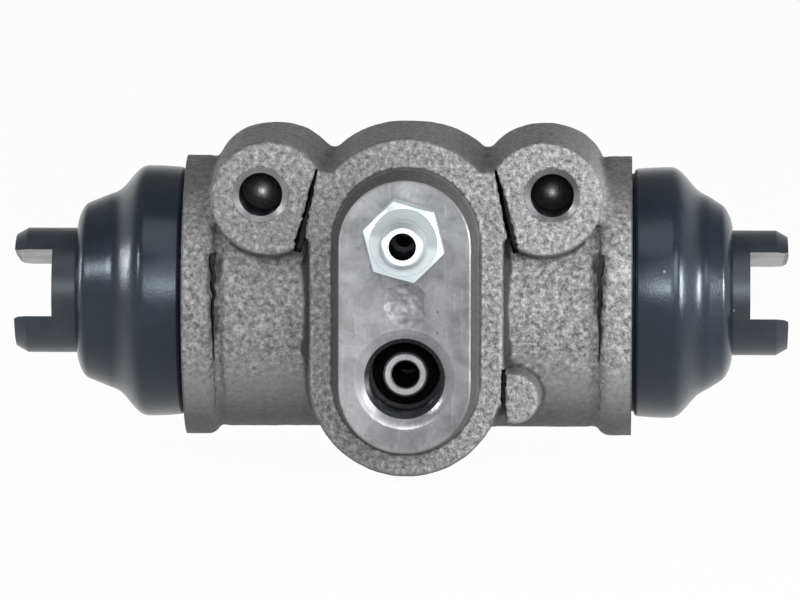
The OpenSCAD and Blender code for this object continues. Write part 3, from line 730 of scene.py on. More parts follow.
def machined_material(name, share, dull=0.56, bright=0.44):
    """Milled iron at a share of its colour, with cloudy smears, short scratches and pinholes.

    Its roughness goes from dull to bright with the smears, and a painted reflection makes its left side
    lighter than its right.
    """
    grey = [share * part for part in values("finish").machined]
    material, tree, shader, place = start_material(name, metallic=0.6, specular=0.25)
    strokes = {"Vector": place, "Rotation": (0, math.radians(32), 0), "Scale": (1.0, 1.0, 0.08)}
    lines = noise(tree, put(tree, "ShaderNodeMapping", strokes).outputs[0], 1900.0)
    smear = noise(tree, place, 210.0, 6.0, 0.66, 0.6)
    fine = noise(tree, place, 1500.0, 3.0)
    specks = effect(tree, dust_specks, place, cells=420.0, share=0.16, radius=0.09)
    cloud = between(tree, smear, 0.28, 0.72)
    # Painted reflection: milled faces lighten towards the left and a little towards the top, mixed with the
    # smears.
    side = between(tree, vector_node(tree, "DOT_PRODUCT", place, (-0.85, 0, 0.2), "Value"), -0.0125, 0.003)
    light = math_node(tree, "ADD", times(tree, cloud, 0.5), times(tree, side, 0.5))
    smeared_and_sheened = shades(tree, light, grey, 0.5, 1.35)
    scratched = mixed(tree, between(tree, lines, 0.56, 0.72, 0.0, 0.2), smeared_and_sheened, shade(grey, 1.9))
    flecked = mixed(tree, between(tree, fine, 0.55, 0.75, 0.0, 0.4), scratched, shade(grey, 0.5))
    colour = mixed(tree, times(tree, specks["Specks"], 0.6), flecked, shade(grey, 0.25))
    height = math_node(tree, "ADD", times(tree, lines, 0.4), times(tree, fine, 0.6))
    dress(tree, shader, colour, between(tree, cloud, 0.0, 1.0, dull, bright), height, 0.00003)
    return material


def deep_material():
    """Painted shade for the inside of tapped holes, slits and crevices: near black, with faint grain."""
    material, tree, shader, place = start_material("dark_hole", metallic=0.3, specular=0.3)
    grain = effect(tree, rough_grain, place, fineness=1800.0, pits=0.4)
    colour = shades(tree, grain["Grain"], values("finish").deep, 1.0, 2.2)
    dress(tree, shader, colour, between(tree, grain["Patches"], 0.0, 1.0, 0.34, 0.5))
    return material


def rubber_material():
    """Black satin rubber with a faint bloom and a few specks of dust."""
    colours = values("finish")
    plain = {"specular": 0.42, "tint": (0.8, 0.9, 1.0, 1.0)}
    material, tree, shader, place = start_material("boot_rubber", **plain)
    dust = effect(tree, dust_specks, place, cells=230.0, share=0.3, radius=0.05)
    grain = effect(tree, rough_grain, place, fineness=2400.0, pits=0.2)
    clean = shades(tree, dust["Bloom"], colours.rubber, 1.0, 1.35)
    dusty = mixed(tree, times(tree, dust["Specks"], 0.7), clean, shade(colours.dust))
    roughness = between(tree, dust["Bloom"], 0.0, 1.0, 0.21, 0.28)
    dress(tree, shader, dusty, roughness, grain["Grain"], 0.000006)
    return material


def piston_material():
    """Blackened metal, with the slot for the shoe milled bare.

    The slot's faces are the points past its floor that lie nearer than half its width, and a little spare,
    to the leaning plane through the bore.
    """
    colours = values("finish")
    material, tree, shader, place = start_material("blackened_piston")
    lean = math.radians(13.5)
    half_slot, spare = 0.0052, 0.00002
    left_floor, right_floor = (MOUNTS[f"shoe_slot_{word}"]["pos_m"][0] for _, word in SIDES)
    middle = vector_node(tree, "ADD", place, tuple(-BORE_MIDDLE))
    across = vector_node(tree, "DOT_PRODUCT", middle, (0, math.sin(lean), math.cos(lean)), "Value")
    along = parts_of(tree, middle)["X"]
    inside = math_node(tree, "LESS_THAN", math_node(tree, "ABSOLUTE", across), half_slot + spare)
    past_right = math_node(tree, "GREATER_THAN", along, right_floor - spare / 2)
    past_left = math_node(tree, "LESS_THAN", along, left_floor + spare / 2)
    bare = times(tree, inside, math_node(tree, "MAXIMUM", past_right, past_left))
    dust = effect(tree, dust_specks, place, cells=300.0, share=0.3, radius=0.06)
    grain = effect(tree, rough_grain, place, fineness=1700.0, pits=0.3)
    coat = shades(tree, dust["Bloom"], colours.piston, 0.8, 1.25)
    dusty = mixed(tree, times(tree, dust["Specks"], 0.5), coat, shade(colours.dust))
    milled = shades(tree, grain["Grain"], colours.slot, 0.8, 1.15)
    tree.links.new(math_node(tree, "MULTIPLY_ADD", bare, 0.35, 0.4), shader.inputs["Metallic"])
    roughness = between(tree, dust["Bloom"], 0.0, 1.0, 0.33, 0.42)
    dress(tree, shader, mixed(tree, bare, dusty, milled), roughness, grain["Grain"], 0.000006)
    return material


def zinc_material():
    """Bright cool zinc plate with faint clouds, and painted shade in its hole.

    A painted reflection darkens the upper half of the hexagon's flat.
    """
    colours = values("finish")
    red, green, blue = colours.zinc
    hole_r, hole_edge, flat_near, flat_far, half_way = 0.00206, 0.00209, 0.00002, 0.00005, 0.0006
    material, tree, shader, place = start_material("zinc_plate", metallic=0.85)
    dust = effect(tree, dust_specks, place, cells=420.0, share=0.2, radius=0.05)
    grain = effect(tree, rough_grain, place, fineness=2600.0, pits=0.2)
    plate = mixed(tree, dust["Bloom"], shade(colours.zinc), shade((0.9 * red, 0.96 * green, blue)))
    offset = vector_node(tree, "ADD", place, (-BLEEDER_AT.x, 0, -BLEEDER_AT.z))
    reach = vector_node(tree, "LENGTH", vector_node(tree, "MULTIPLY", offset, (1, 0, 1)), out="Value")
    # Painted shade: the nipple's hole gets the near-black hole colour.
    drilled = between(tree, reach, hole_r, hole_edge, 1.0, 0.0)
    height = math_node(tree, "SUBTRACT", parts_of(tree, place)["Y"], PAD_FACE - HEX_RISE)
    on_flat = between(tree, math_node(tree, "ABSOLUTE", height), flat_near, flat_far, 1.0, 0.0)
    # Painted reflection: the upper half of the hexagon's flat is darker.
    upper = vector_node(tree, "DOT_PRODUCT", offset, (0.2, 0, 0.98), "Value")
    dull = times(tree, on_flat, between(tree, upper, -half_way, half_way, 0.5, 0.72))
    flat_shaded = mixed(tree, dull, plate, shade(colours.zinc, 0.12))
    colour = mixed(tree, drilled, flat_shaded, shade(colours.deep))
    roughness = between(tree, grain["Grain"], 0.0, 1.0, 0.34, 0.42)
    dress(tree, shader, colour, roughness, grain["Grain"], 0.000004)
    return material


def wire_material():
    """Drawn spring wire: grey, with small dull patches."""
    material, tree, shader, place = start_material("spring_wire", metallic=1.0)
    grain = effect(tree, rough_grain, place, fineness=2200.0, pits=0.4)
    colour = shades(tree, grain["Patches"], values("finish").wire, 1.0, 0.7)
    dress(tree, shader, colour, between(tree, grain["Grain"], 0.0, 1.0, 0.3, 0.45))
    return material


# The casting


def groove_at(side, rise):
    """A point, as (x, z), on the middle line of the groove beside a boss, at a height above the bore."""
    lean = (GROOVE_FOOT[0] - GROOVE_TOP[0]) / (GROOVE_TOP[1] - GROOVE_FOOT[1])
    return side * (GROOVE_TOP[0] + (GROOVE_TOP[1] - rise) * lean), BORE_MIDDLE.z + rise


def blank_shapes(casting):
    """What fills the CAD body's holes and leaves its ends long and its pad high, as cast in the mould."""
    spare, rim, hole_past, port_past = 0.0008, 0.003, 0.004, 0.003
    pad_root, pad_foot, pad_top, pad_inset = 0.004, 0.0006, 0.0015, 0.0012
    groove_width, groove_low, groove_high, groove_past = 0.0024, 0.0107, 0.02, 0.0005
    collar_middle = BORE_MIDDLE - Vector((0, 0, casting.collar_drop))
    bolt_r, neck_r = casting.bolt_mouth / 2 + spare / 2, casting.neck_d / 2 + spare
    shapes = []
    for side, _ in SIDES:
        axis, hole = (side, 0, 0), (side * HOLE_X, MOUNT_FACE, 0)
        low, high = groove_at(side, groove_low), groove_at(side, groove_high)
        collar_end, widths = casting.collar_x + spare, (groove_width, groove_width)
        shapes += [
            plug(collar_middle, axis, casting.collar_d / 2, casting.collar_x - rim, collar_end),
            plug(BORE_MIDDLE, axis, neck_r, casting.collar_x, NECK_END + spare),
            plug(hole, INWARD, bolt_r, 0.0, casting.bolt_depth + hole_past, 64),
            slit(low, high, widths, casting.groove_reach + groove_past, seed=1, stray=0.0, lift=0.0),
        ]
    bore_r = casting.bore_d / 2 + 2 * casting.bore_bevel
    spot_r, bleeder_r = (casting.spot_d + spare) / 2, casting.bleeder_d / 2 + spare
    draft = math.tan(math.radians(7))
    pad = [(-pad_root, casting.pad_r - pad_inset), (-pad_foot, casting.pad_r + pad_foot * draft),
           (pad_top, casting.pad_r - pad_top * draft)]
    return shapes + [
        plug(BORE_MIDDLE, (1, 0, 0), bore_r, -NECK_END, NECK_END),
        plug(PORT_AT, INWARD, spot_r, -spare, casting.port_depth + port_past, 64),
        plug(BLEEDER_AT, INWARD, bleeder_r, -spare, casting.bleeder_depth + hole_past, 64),
        pad_solid(pad),
    ]


def cast_blank(casting):
    """The CAD body with its holes filled, put on an even grid."""
    source = bmesh.new()
    source.from_mesh(frame["nodes"]["cylinder_body"].data)
    bmesh.ops.remove_doubles(source, verts=source.verts, dist=1e-6)
    welded = bpy.data.meshes.new("welded")
    source.to_mesh(welded)
    source.free()
    points = read(welded.vertices, "co", np.float32, 3)
    corners = read(welded.loops, "vertex_index", np.int32).reshape(-1, 3)
    bpy.data.meshes.remove(welded)
    shape = joined([(points, [corners]), *blank_shapes(casting)])
    piece = put_piece("cast_body", put_mesh("cast_body", *shape))
    grid = piece.modifiers.new("grid", "REMESH")
    grid.mode = "VOXEL"
    grid.voxel_size = casting.grid
    grid.use_smooth_shade = True
    swap_mesh(piece, evaluated(piece))
    return piece


def soot_marks(points, normals, casting):
    """Painted shade for each point: in the corners beside the block, and along the collars' reliefs."""
    away = np.abs(points[:, 0])
    behind = points[:, 1] - MOUNT_FACE
    rise = points[:, 2] - BORE_MIDDLE.z
    most, steep = 1.3, 0.42
    wall_near, wall_far, wall_front, wall_back = 0.0125, 0.0178, 0.0004, 0.008
    wall_top, wall_low, wall_full = 0.0085, -0.0125, -0.0075
    relief_top, relief_low, relief_full, relief_back = 0.008, -0.01, -0.004, 0.012
    narrow, growth, growth_low, growth_high = 0.0004, 0.0007, -0.0085, 0.0075
    blotch_cell, blotch_level, blotch_range = 0.0007, 0.85, 0.6
    # Painted shade in the corners beside the block, where the drafted walls are in shadow, and along the
    # reliefs.
    beside_block = (away > wall_near) & (away < wall_far) & (np.abs(normals[:, 0]) > steep)
    below_boss = (behind > wall_front) & (behind < wall_back) & (rise < wall_top)
    corner = (beside_block & below_boss) * ramp(rise, wall_low, wall_full)
    spread = narrow + growth * ramp(rise, growth_low, growth_high)
    relief = np.clip(2 - np.abs(away - casting.relief_x) / spread, 0, 1)
    relief = relief * ramp(rise, relief_low, relief_full) * (rise < relief_top) * (behind < relief_back)
    blotches = np.clip(blotch_level + blotch_range * waves(points, blotch_cell, 5), 0, 1)
    return most * np.maximum(corner, relief * blotches)


def mark_skin(mesh, points, edges, normals, hollow, casting):
    """Gives the cast skin the three attributes that its finish reads.

    Hollow is above 0 in hollows and in the painted shade of the creases, and below 0 on edges, front is 1 on
    the front and the back and 0 on walls, and plain is 1 underneath. The collars' shoulders and the rim round
    the pad are less hollow.
    """
    shoulder_start, shoulder_full, rim_depth, facing = 0.027, 0.028, 0.0006, 0.9
    shoulder_ease, rim_ease, shoulder_front, most = 0.75, 0.6, 0.6, 1.5
    shoulder = ramp(np.abs(points[:, 0]), shoulder_start, shoulder_full) * (normals[:, 1] < 0)
    rim = (np.abs(points[:, 1] - MOUNT_FACE) < rim_depth) & (normals[:, 1] < -facing)
    eased = hollow * np.where(hollow > 0, (1 - shoulder_ease * shoulder) * (1 - rim_ease * rim), 1)
    crease_shade = smoothed(soot_marks(points, normals, casting), edges, 4)
    front = np.sqrt(normals[:, 1] ** 2 + shoulder_front * shoulder * normals[:, 0] ** 2)
    marks = {
        "hollow": np.clip(np.maximum(eased, crease_shade), -most, most),
        "front": smoothed(front, edges, 3),
        "plain": ramp(-normals[:, 2], 0.3, 0.6),
    }
    for name, mark in marks.items():
        mesh.attributes.new(name, "FLOAT", "POINT").data.foreach_set("value", mark.astype(np.float32))


def cast_skin(casting):
    """The body as cast, with its corners rounded and its skin waved.

    Each rounding pass moves a point towards the mean of its neighbours, further in a hollow than on an edge.
    A point's hollow is how far it lies inside a much smoother skin, over hollow_depth.
    """
    in_hollow, on_edge, smooth_passes, smooth_share, hollow_depth = 0.75, 0.4, 14, 0.7, 0.00022
    turned_end, faced_start, faced_full = 0.0004, PAD_FACE + 0.0012, PAD_FACE + 0.0002
    swell_cell, pimple_cell, small_cell, small_share = 0.0045, 0.0016, 0.0011, 0.6
    piece = cast_blank(casting)
    mesh = piece.data
    points = read(mesh.vertices, "co", np.float32, 3).astype(float)
    edges = read(mesh.edges, "vertices", np.int32, 2)
    normals = read(mesh.vertex_normals, "vector", np.float32, 3).astype(float)
    for _ in range(casting.rounding):
        pull = neighbour_mean(points, edges) - points
        outward = np.einsum("ij,ij->i", pull, normals)
        points += pull * np.where(outward > 0, in_hollow, on_edge)[:, None]
    smooth = points.copy()
    for _ in range(smooth_passes):
        smooth += smooth_share * (neighbour_mean(smooth, edges) - smooth)
    hollow = np.einsum("ij,ij->i", smooth - points, normals) / hollow_depth
    turned = ramp(np.abs(points[:, 0]), casting.collar_x - turned_end, casting.collar_x)
    faced = ramp(points[:, 1], faced_start, faced_full)
    pimples = waves(points, pimple_cell, 7) + small_share * waves(points, small_cell, 11)
    skin = casting.swell * waves(points, swell_cell, 3) + casting.pimple * pimples
    points += normals * ((1 - turned) * (1 - faced) * skin)[:, None]
    mesh.vertices.foreach_set("co", points.astype(np.float32).ravel())
    mesh.update()
    mark_skin(mesh, points, edges, normals, hollow, casting)
    return piece


def end_tool(casting, side):
    """The tool that turns a neck with its groove, its edge and the face of its collar."""
    neck, face, edge, free = casting.neck_d / 2, casting.collar_x, casting.edge, 0.003
    sunk, outside = neck - casting.rim_depth, casting.collar_d / 2 + free
    start = face + (NECK_END - face - casting.rim_length) / 2
    end = start + casting.rim_length
    profile = [(0, NECK_END), (neck - edge, NECK_END), (neck, NECK_END - edge), (neck, end), (sunk, end),
               (sunk, start), (neck, start), (neck, face), (outside, face), (outside, NECK_END + free),
               (0, NECK_END + free)]
    return revolve(profile, BORE_MIDDLE, (side, 0, 0), 160)


def bolt_tool(casting, side):
    """Countersink, tap and drill of a bolt hole: finish 0 at the mouth, 1 in the thread, 2 on the floor."""
    minor, mouth, depth, above = casting.bolt_minor / 2, casting.bolt_mouth / 2, casting.bolt_depth, 0.001
    lead, run_out = 0.0001, 0.0005
    foot = (mouth - minor) / DRILL_SLOPE
    profile = [(0, -above), (mouth + above * DRILL_SLOPE, -above), (minor, foot), (minor, depth),
               (0, depth + minor / DRILL_SLOPE)]
    thread = (foot + lead, depth - run_out, casting.bolt_pitch, casting.bolt_major / 2 - minor)
    return revolve(profile, (side * HOLE_X, MOUNT_FACE, 0), INWARD, 64, thread, bands=[0, 0, 1, 2])


def port_tool(casting):
    """The inlet port: dished countersink, finish 2, thread and run-out, finish 1, and flare seat, finish 0.

    The dish falls from its edge, t = 1, to the port's mouth, t = 0, by its depth times (1 - t) squared.
    """
    minor, mouth, spot = casting.port_minor / 2, casting.port_mouth / 2, casting.spot_d / 2
    seat, hole, floor = casting.seat_d / 2, casting.fluid_d / 2, casting.port_depth
    above, below, edge, seat_slope = 0.0006, 0.00001, 0.0002, 0.4
    foot = casting.spot_depth + mouth - minor
    seat_top = floor - casting.seat_height
    thread_end, run_out = seat_top - casting.port_relief, minor + casting.port_relief
    end = floor + casting.fluid_length
    dish = [(mouth + (spot - mouth) * t, casting.spot_depth * (1 - t) ** 2) for t in np.linspace(1, 0, 9)[1:]]
    profile = [(0, -above), (spot, -above), (spot, below), *dish, (minor, foot), (minor, thread_end),
               (run_out, thread_end), (run_out, floor), (seat + seat_slope * casting.seat_height, floor),
               (seat + edge, seat_top + 1.5 * edge), (seat - edge / 2, seat_top), (hole + edge, seat_top),
               (hole, seat_top + edge), (hole, end), (0, end)]
    thread = (foot, thread_end, casting.port_pitch, casting.port_major / 2 - minor)
    bands = [2] * (2 + len(dish)) + [1] * 6 + [0] * 3 + [1] * 2
    return revolve(profile, PORT_AT, INWARD, 96, thread, bands=bands)


def bleeder_tool(casting):
    """The bleeder's hole: bevelled mouth, cone seat and passage to the bore."""
    hole, passage, edge, above = casting.bleeder_d / 2, casting.passage_d / 2, casting.edge, 0.001
    cone_end = casting.bleeder_depth + hole - passage
    end = cone_end + casting.passage_length
    profile = [(0, -above), (hole + edge + above, -above), (hole, edge), (hole, casting.bleeder_depth),
               (passage, cone_end), (passage, end), (0, end)]
    return revolve(profile, BLEEDER_AT, INWARD, 72)


def bore_tool(casting):
    """The boring bar, which widens past the bevels at both mouths."""
    half, bevel, free = casting.bore_d / 2, casting.bore_bevel, 0.002
    wide, end = half + bevel + free, NECK_END + free
    mouth = NECK_END - bevel
    profile = [(0, -end), (wide, -end), (half, -mouth), (half, mouth), (wide, end), (0, end)]
    return revolve(profile, BORE_MIDDLE, (1, 0, 0), 128)


def dimple_tool(casting):
    """A ball that cuts the dimple, with two sizes of waves on its radius as the chatter of the tool."""
    coarse, fine, coarse_cell, fine_cell = 0.00026, 0.00014, 0.0011, 0.0005
    half, depth = casting.dimple_d / 2, casting.dimple_depth
    ball = (half * half + depth * depth) / (2 * depth)
    turn = np.linspace(0, np.pi, 121)
    profile = np.column_stack([ball * np.sin(turn), -ball * np.cos(turn)])
    profile[[0, -1], 0] = 0
    middle = np.array([0, PAD_FACE - ball + depth, BORE_MIDDLE.z + casting.dimple_rise])
    points, faces, bands = revolve(profile, middle, (0, 0, 1), 200)
    chatter = coarse * waves(points, coarse_cell, 23) + fine * waves(points, fine_cell, 29)
    return points + (points - middle) / ball * chatter[:, None], faces, bands


def pad_tool(casting):
    """The mill that faces the pad, and the file that breaks its edge at 45 degrees, past the pad's wall."""
    free, above = 0.003, 0.004
    inner, fall, outer = casting.pad_r - casting.pad_bevel, 2.5 * casting.pad_bevel, casting.pad_r + free
    return pad_solid([(0.0, inner), (-fall, inner + fall), (-fall, outer), (above, outer)], (1, 0, 0))


def upright_slit(x, low, high, widths, depth, seed, **more):
    """A slit along z, between two heights above the bore."""
    return slit((x, BORE_MIDDLE.z + low), (x, BORE_MIDDLE.z + high), widths, depth, seed, **more)


class WHEELCYL_OT_casting(bpy.types.Operator):
    """Casts the body, then turns, bores, taps and faces it"""

    bl_idname = "wheelcyl.casting"
    bl_label = "Cast body"

    def execute(self, context):
        casting = values("casting")
        machined = machined_material("machined_iron", 1.0)
        # Copies of the milled finish at other shares paint light and shade: a painted highlight on the bare
        # filed edge, painted light in the dished mouth and on the flare seat deep in the port, painted shade
        # on the drilled floor and in the bolt holes' countersinks.
        filed_highlight = machined_material("filed_edge", 1.25)
        dished = machined_material("dished_mouth", 1.12, 0.32, 0.25)
        drilled = machined_material("drilled_floor", 0.4, 0.3, 0.22)
        mouth = machined_material("bolt_mouth", 0.8, 0.42, 0.32)
        seat = machined_material("flare_seat", 1.55, 0.42, 0.32)
        deep = deep_material()
        piece = cast_skin(casting)
        piece.data.materials.append(iron_material())
        cut(piece, pad_tool(casting), machined, filed_highlight)
        groove_widths = (casting.groove_foot, casting.groove_top)
        relief_ends = (-casting.relief_low, casting.relief_high)
        relief_widths = (casting.relief_foot, casting.relief_top)
        for side, _ in SIDES:
            low, high = groove_at(side, casting.groove_low), groove_at(side, casting.groove_high)
            groove = slit(low, high, groove_widths, casting.groove_reach, 41 + side)
            relief = upright_slit(side * casting.relief_x, *relief_ends, relief_widths, casting.relief_reach,
                                  61 + side, stray=casting.relief_stray)
            cut(piece, end_tool(casting, side), machined)
            cut(piece, groove, deep)
            cut(piece, bolt_tool(casting, side), mouth, deep, drilled)
            cut(piece, relief, deep)
        lug_widths = (casting.lug_gap, casting.lug_gap)
        lug_ends = (-casting.lug_low, -casting.lug_high)
        cut(piece, upright_slit(casting.lug_x, *lug_ends, lug_widths, casting.lug_reach, 51), deep)
        cut(piece, bore_tool(casting), machined)
        cut(piece, port_tool(casting), seat, deep, dished)
        cut(piece, bleeder_tool(casting), machined)
        cut(piece, dimple_tool(casting), machined)
        crisp_edges(piece.data)
        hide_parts("cylinder_body")
        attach(piece, "housing")
        return {"FINISHED"}


# The boots


def boot_outline(boot, length):
    """Outer radius of a boot over the distance u from its collar.

    The skirt swells as a parabola. The radius then eases along s^3 * (10 - 15 s + 6 s^2) to the waist,
    runs on in an even slope, and ends in a quarter of an ellipse on the stem.
    """
    start, fall = boot.fall_start - boot.ease, boot.fall_length + 2 * boot.ease
    nose_at, waist_at = length - boot.nose_round, start + fall
    past_edge, skirt_rings, nose_rings = 0.0003, 150, 30
    skirt_u = np.linspace(ROLLED_EDGE[-1][1] + past_edge, nose_at, skirt_rings)[:-1]
    u = np.r_[skirt_u, nose_at + boot.nose_round * np.sin(np.linspace(0, np.pi / 2, nose_rings))]
    top, nose, stem = boot.skirt_d / 2, boot.nose_d / 2, boot.stem_d / 2 + boot.gap
    slope = (boot.waist_d / 2 - nose) / (nose_at - boot.fall_start - boot.fall_length)
    waist = boot.waist_d / 2 - slope * boot.ease
    s = ramp(u, start, waist_at)
    skirt = top - boot.skirt_taper * np.clip(1 - u / boot.fall_start, 0, None) ** 2
    eased = skirt - (top - waist) * s**3 * (10 - 15 * s + 6 * s * s) + fall * slope * s**3 * (1 - s)
    body = np.where(u > waist_at, waist - slope * (u - waist_at), eased)
    v = ramp(u, nose_at, length)
    return u, stem + (body - stem) * np.sqrt(1 - v * v)


def boot_shape(boot, casting, length, side):
    """A boot as a closed ring: outside, lip in the stem's groove, inside, and bead in the neck's groove."""
    u, radius = boot_outline(boot, length)
    stem, neck = boot.stem_d / 2 + boot.gap, casting.neck_d / 2 + boot.gap
    neck_length = NECK_END - casting.collar_x
    clear, skin = 0.0003, 0.0002
    lip_r, lip_end = stem - casting.rim_depth, length - clear
    lip_start = lip_end - boot.lip
    start, skin_end = neck_length + clear, lip_start - skin
    bead_r, bead_in = neck - casting.rim_depth, (neck_length - casting.rim_length) / 2 + boot.gap
    bead_out = bead_in + casting.rim_length - 2 * boot.gap
    inside_u = np.linspace(skin_end, start, 40)
    inside_r = np.maximum(np.interp(inside_u, u, radius) - boot.wall, stem)
    profile = np.vstack([
        (neck, ROLLED_EDGE[0][1]),
        np.array(ROLLED_EDGE) + (radius[0], 0),
        np.column_stack([radius, u]),
        [(stem, lip_end), (lip_r, lip_end), (lip_r, lip_start), (stem, lip_start), (stem, skin_end)],
        np.column_stack([inside_r, inside_u]),
        [(neck, start), (neck, bead_out), (bead_r, bead_out), (bead_r, bead_in), (neck, bead_in)],
    ])
    foot = np.array(BORE_MIDDLE) + (side * casting.collar_x, 0, 0)
    return revolve(profile, foot, (side, 0, 0), 192, loop=True)


class WHEELCYL_OT_boots(bpy.types.Operator):
    """Moulds the two rubber boots"""

    bl_idname = "wheelcyl.boots"
    bl_label = "Dust boots"

    def execute(self, context):
        casting, boot = values("casting"), values("boots")
        rubber = rubber_material()
        for side, word in SIDES:
            node = f"dust_boot_{word}"
            low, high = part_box(node)
            tip = high.x if side > 0 else -low.x
            points, faces, _ = boot_shape(boot, casting, tip - casting.collar_x, side)
            piece = put_piece(f"boot_{word}", put_mesh(node, points, faces, [rubber]))
            piece.data.set_sharp_from_angle(angle=CRISP_TURN)
            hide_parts(node)
            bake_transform(piece)
        return {"FINISHED"}


# Pieces that keep their CAD shape, and the spring


def finish_node(node, material):
    """Gives a CAD node its finish."""
    piece = frame["nodes"][node]
    piece.data.materials.clear()
    piece.data.materials.append(material)


class WHEELCYL_OT_pistons(bpy.types.Operator):
    """Blackens the pistons and leaves their slots bare"""

    bl_idname = "wheelcyl.pistons"
    bl_label = "Pistons"

    def execute(self, context):
        material = piston_material()
        for _, word in SIDES:
            finish_node(f"piston_{word}", material)
        return {"FINISHED"}


class WHEELCYL_OT_bleeder(bpy.types.Operator):
    """Plates the bleeder screw"""

    bl_idname = "wheelcyl.bleeder"
    bl_label = "Bleeder screw"

    def execute(self, context):
        finish_node("bleeder_screw", zinc_material())
        return {"FINISHED"}


def spring_half(spring, side, low_x, high_x, corners=14):
    """The half of the spring on one side of its middle: a round wire of radius w along a helix of radius r.

    With a along the helix and b round the wire, a point lies at low_x + (length - 2 w) * a / (2 pi turns)
    + w * (1 + sin b) in x, and at (-(r + w cos b) * cos a, (r + w cos b) * sin a) from the bore in y and z.
    """
    wire, coil = spring.wire_d / 2, spring.coil_d / 2
    share = np.linspace(0, 0.5, corners * spring.turns + 1)[:, None] + (0.5 if side > 0 else 0.0)
    a = 2 * np.pi * spring.turns * share
    b = 2 * np.pi * np.arange(corners) / corners
    x = low_x + (high_x - low_x - spring.wire_d) * share + wire * (1 + np.sin(b))
    reach = coil + wire * np.cos(b)
    return tube(np.stack([x, BORE_MIDDLE.y - reach * np.cos(a), BORE_MIDDLE.z + reach * np.sin(a)], -1))


class WHEELCYL_OT_inside(bpy.types.Operator):
    """Finishes the seals, their expanders and the spring inside the bore"""

    bl_idname = "wheelcyl.inside"
    bl_label = "Seals and spring"

    def execute(self, context):
        rubber, zinc = bpy.data.materials["boot_rubber"], bpy.data.materials["zinc_plate"]
        spring, wire = values("spring"), wire_material()
        low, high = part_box("return_spring")
        for side, word in SIDES:
            finish_node(f"cup_seal_{word}", rubber)
            finish_node(f"cup_expander_{word}", zinc)
            name = f"spring_{word}_half"
            points, faces, _ = spring_half(spring, side, low.x, high.x)
            piece = put_piece(name, put_mesh(name, points, faces, [wire]))
            piece.data.set_sharp_from_angle(angle=CRISP_TURN)
            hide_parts("return_spring")
            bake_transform(piece)
        return {"FINISHED"}


# Floor, light and camera


def seen(tree):
    """1 for rays from the camera, and for what shines in metal, else 0."""
    path = put(tree, "ShaderNodeLightPath").outputs
    some = math_node(tree, "MAXIMUM", path["Is Camera Ray"], path["Is Glossy Ray"])
    return math_node(tree, "MAXIMUM", some, path["Is Transmission Ray"])


def floor_material(white_share=0.975):
    """A pale floor that looks nearly white and keeps a soft shadow."""
    material, tree, shader, place = start_material("pale_floor", specular=0.0)
    shader.inputs["Roughness"].default_value = 0.9
    colour = shades(tree, noise(tree, place, 6.0), values("finish").floor, 1.0, 0.99)
    tree.links.new(colour, shader.inputs["Base Color"])
    glow = put(tree, "ShaderNodeEmission", {"Color": (1, 1, 1, 1), "Strength": 1.0})
    parts = {0: times(tree, seen(tree), white_share), 1: shader.outputs[0], 2: glow.outputs[0]}
    blend = put(tree, "ShaderNodeMixShader", parts)
    out = next(node for node in tree.nodes if node.type == "OUTPUT_MATERIAL")
    tree.links.new(blend.outputs[0], out.inputs["Surface"])
    return material


def white_world(scene, sky):
    """White surroundings for the eye, greyer above, that light the object at the sky's level."""
    scene.world = bpy.data.worlds.new("white_surroundings")
    scene.world.use_nodes = True
    tree = scene.world.node_tree
    tree.nodes.clear()
    rise = parts_of(tree, put(tree, "ShaderNodeTexCoord").outputs["Generated"])["Z"]
    level = math_node(tree, "MULTIPLY_ADD", seen(tree), 1.0 - sky, sky)
    strength = times(tree, between(tree, rise, 0.15, 0.7, 1.0, 0.3), level)
    light = put(tree, "ShaderNodeBackground", {"Color": (1, 1, 1, 1), "Strength": strength})
    put(tree, "ShaderNodeOutputWorld", {"Surface": light.outputs[0]})


def direction(azimuth, elevation):
    """The direction from the bore's middle to a light or the camera, for two angles in radians."""
    level = math.cos(elevation)
    return Vector((math.sin(azimuth) * level, -math.cos(azimuth) * level, math.sin(elevation)))


def soft_light(name, watts, width, height, azimuth, elevation, distance):
    """A soft oval light that looks at the bore's middle. Its angles are in degrees."""
    data = bpy.data.lights.new(name, "AREA")
    data.shape = "ELLIPSE"
    data.size = width
    data.size_y = height
    data.energy = watts
    lamp = bpy.data.objects.new(name, data)
    back = direction(math.radians(azimuth), math.radians(elevation))
    lamp.location = BORE_MIDDLE + distance * back
    lamp.rotation_euler = back.to_track_quat("Z", "Y").to_euler()
    bpy.context.scene.collection.objects.link(lamp)


def put_camera(stage):
    """A long lens at the photograph's height and turn."""
    data = bpy.data.cameras.new("camera")
    data.lens = stage.lens
    data.sensor_width = 36.0
    data.clip_start = 0.05
    data.clip_end = 20.0
    camera = bpy.data.objects.new("camera", data)
    back = direction(stage.azimuth, stage.elevation)
    turn = back.to_track_quat("Z", "Y").to_matrix()
    aim = stage.aim_right * turn.col[0] + stage.aim_up * turn.col[1]
    camera.location = BORE_MIDDLE + stage.distance * back + aim
    camera.rotation_euler = (turn @ Matrix.Rotation(stage.roll, 3, "Z")).to_euler()
    bpy.context.scene.collection.objects.link(camera)
    bpy.context.scene.camera = camera


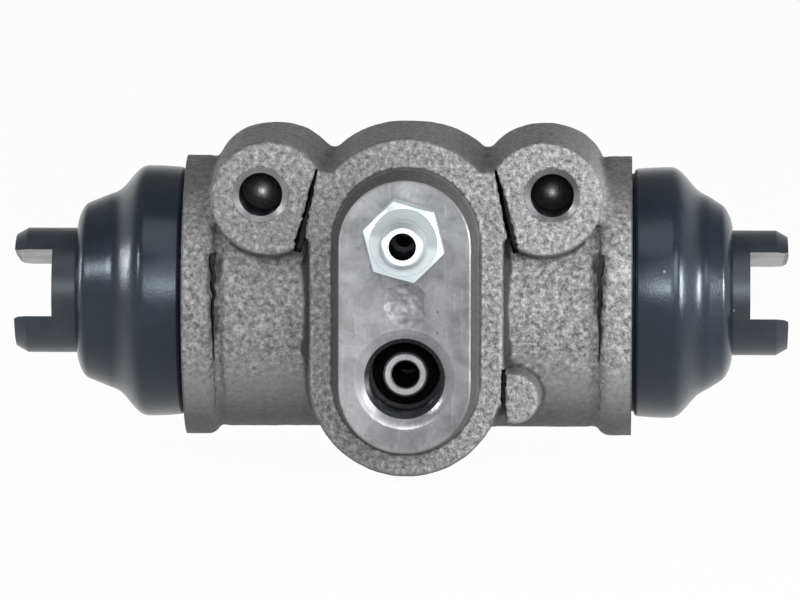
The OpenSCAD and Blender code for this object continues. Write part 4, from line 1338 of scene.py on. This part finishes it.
class WHEELCYL_OT_stage(bpy.types.Operator):
    """Sets up the pale floor, the soft lights, the white surroundings and the camera"""

    bl_idname = "wheelcyl.stage"
    bl_label = "Floor, light and camera"

    def execute(self, context):
        stage = values("stage")
        reach, level = 3.0, CAD_BOX[0][2] - 0.0003
        square = ((-1, -1), (1, -1), (1, 1), (-1, 1))
        corners = np.array([(reach * x, reach * y, level) for x, y in square])
        floor = put_piece("floor", put_mesh("floor", corners, [np.arange(4)[None]], [floor_material()]))
        soft_light("key_light", stage.key, 0.12, 0.12, azimuth=1, elevation=10.5, distance=0.95)
        soft_light("front_light", stage.front, 0.8, 0.8, azimuth=14, elevation=15, distance=1.0)
        soft_light("high_light", stage.high, 0.5, 0.5, azimuth=0, elevation=56, distance=0.8)
        soft_light("side_light", stage.side, 0.2, 0.2, azimuth=45, elevation=20, distance=0.4)
        soft_light("fill_light", stage.fill, 0.12, 0.12, azimuth=-49, elevation=26, distance=0.6)
        soft_light("left_strip", stage.left_strip, 0.045, 0.12, azimuth=-105, elevation=8, distance=0.5)
        soft_light("right_strip", stage.right_strip, 0.09, 0.15, azimuth=79, elevation=5, distance=0.5)
        white_world(context.scene, stage.sky)
        context.scene.view_settings.view_transform = "Standard"
        put_camera(stage)
        return {"FINISHED"}


class WHEELCYL_PT_panel(bpy.types.Panel):
    """The steps that make the wheel cylinder, in their order"""

    bl_idname = "WHEELCYL_PT_panel"
    bl_label = "Wheel cylinder"
    bl_space_type = "VIEW_3D"
    bl_region_type = "UI"
    bl_category = "Wheel cylinder"

    def draw(self, context):
        for step in STEPS:
            self.layout.operator(step.bl_idname)
        for group in GROUPS:
            held = getattr(context.scene, group)
            box = self.layout.box()
            for name in held.__annotations__:
                box.prop(held, name)


GROUPS = {
    "wheel_casting": CastingSizes,
    "wheel_boots": BootSizes,
    "wheel_spring": SpringSizes,
    "wheel_finish": FinishColours,
    "wheel_stage": StageSizes,
}
STEPS = (
    WHEELCYL_OT_casting,
    WHEELCYL_OT_boots,
    WHEELCYL_OT_pistons,
    WHEELCYL_OT_bleeder,
    WHEELCYL_OT_inside,
    WHEELCYL_OT_stage,
)


def register():
    for kind in (*GROUPS.values(), *STEPS, WHEELCYL_PT_panel):
        bpy.utils.register_class(kind)
    for name, kind in GROUPS.items():
        setattr(bpy.types.Scene, name, PointerProperty(type=kind))


def unregister():
    for name in GROUPS:
        delattr(bpy.types.Scene, name)
    for kind in (WHEELCYL_PT_panel, *reversed(STEPS), *reversed(GROUPS.values())):
        bpy.utils.unregister_class(kind)


def main():
    register()
    bpy.ops.wheelcyl.casting()
    bpy.ops.wheelcyl.boots()
    bpy.ops.wheelcyl.pistons()
    bpy.ops.wheelcyl.bleeder()
    bpy.ops.wheelcyl.inside()
    bpy.ops.wheelcyl.stage()


if __name__ == "__main__":
    main()
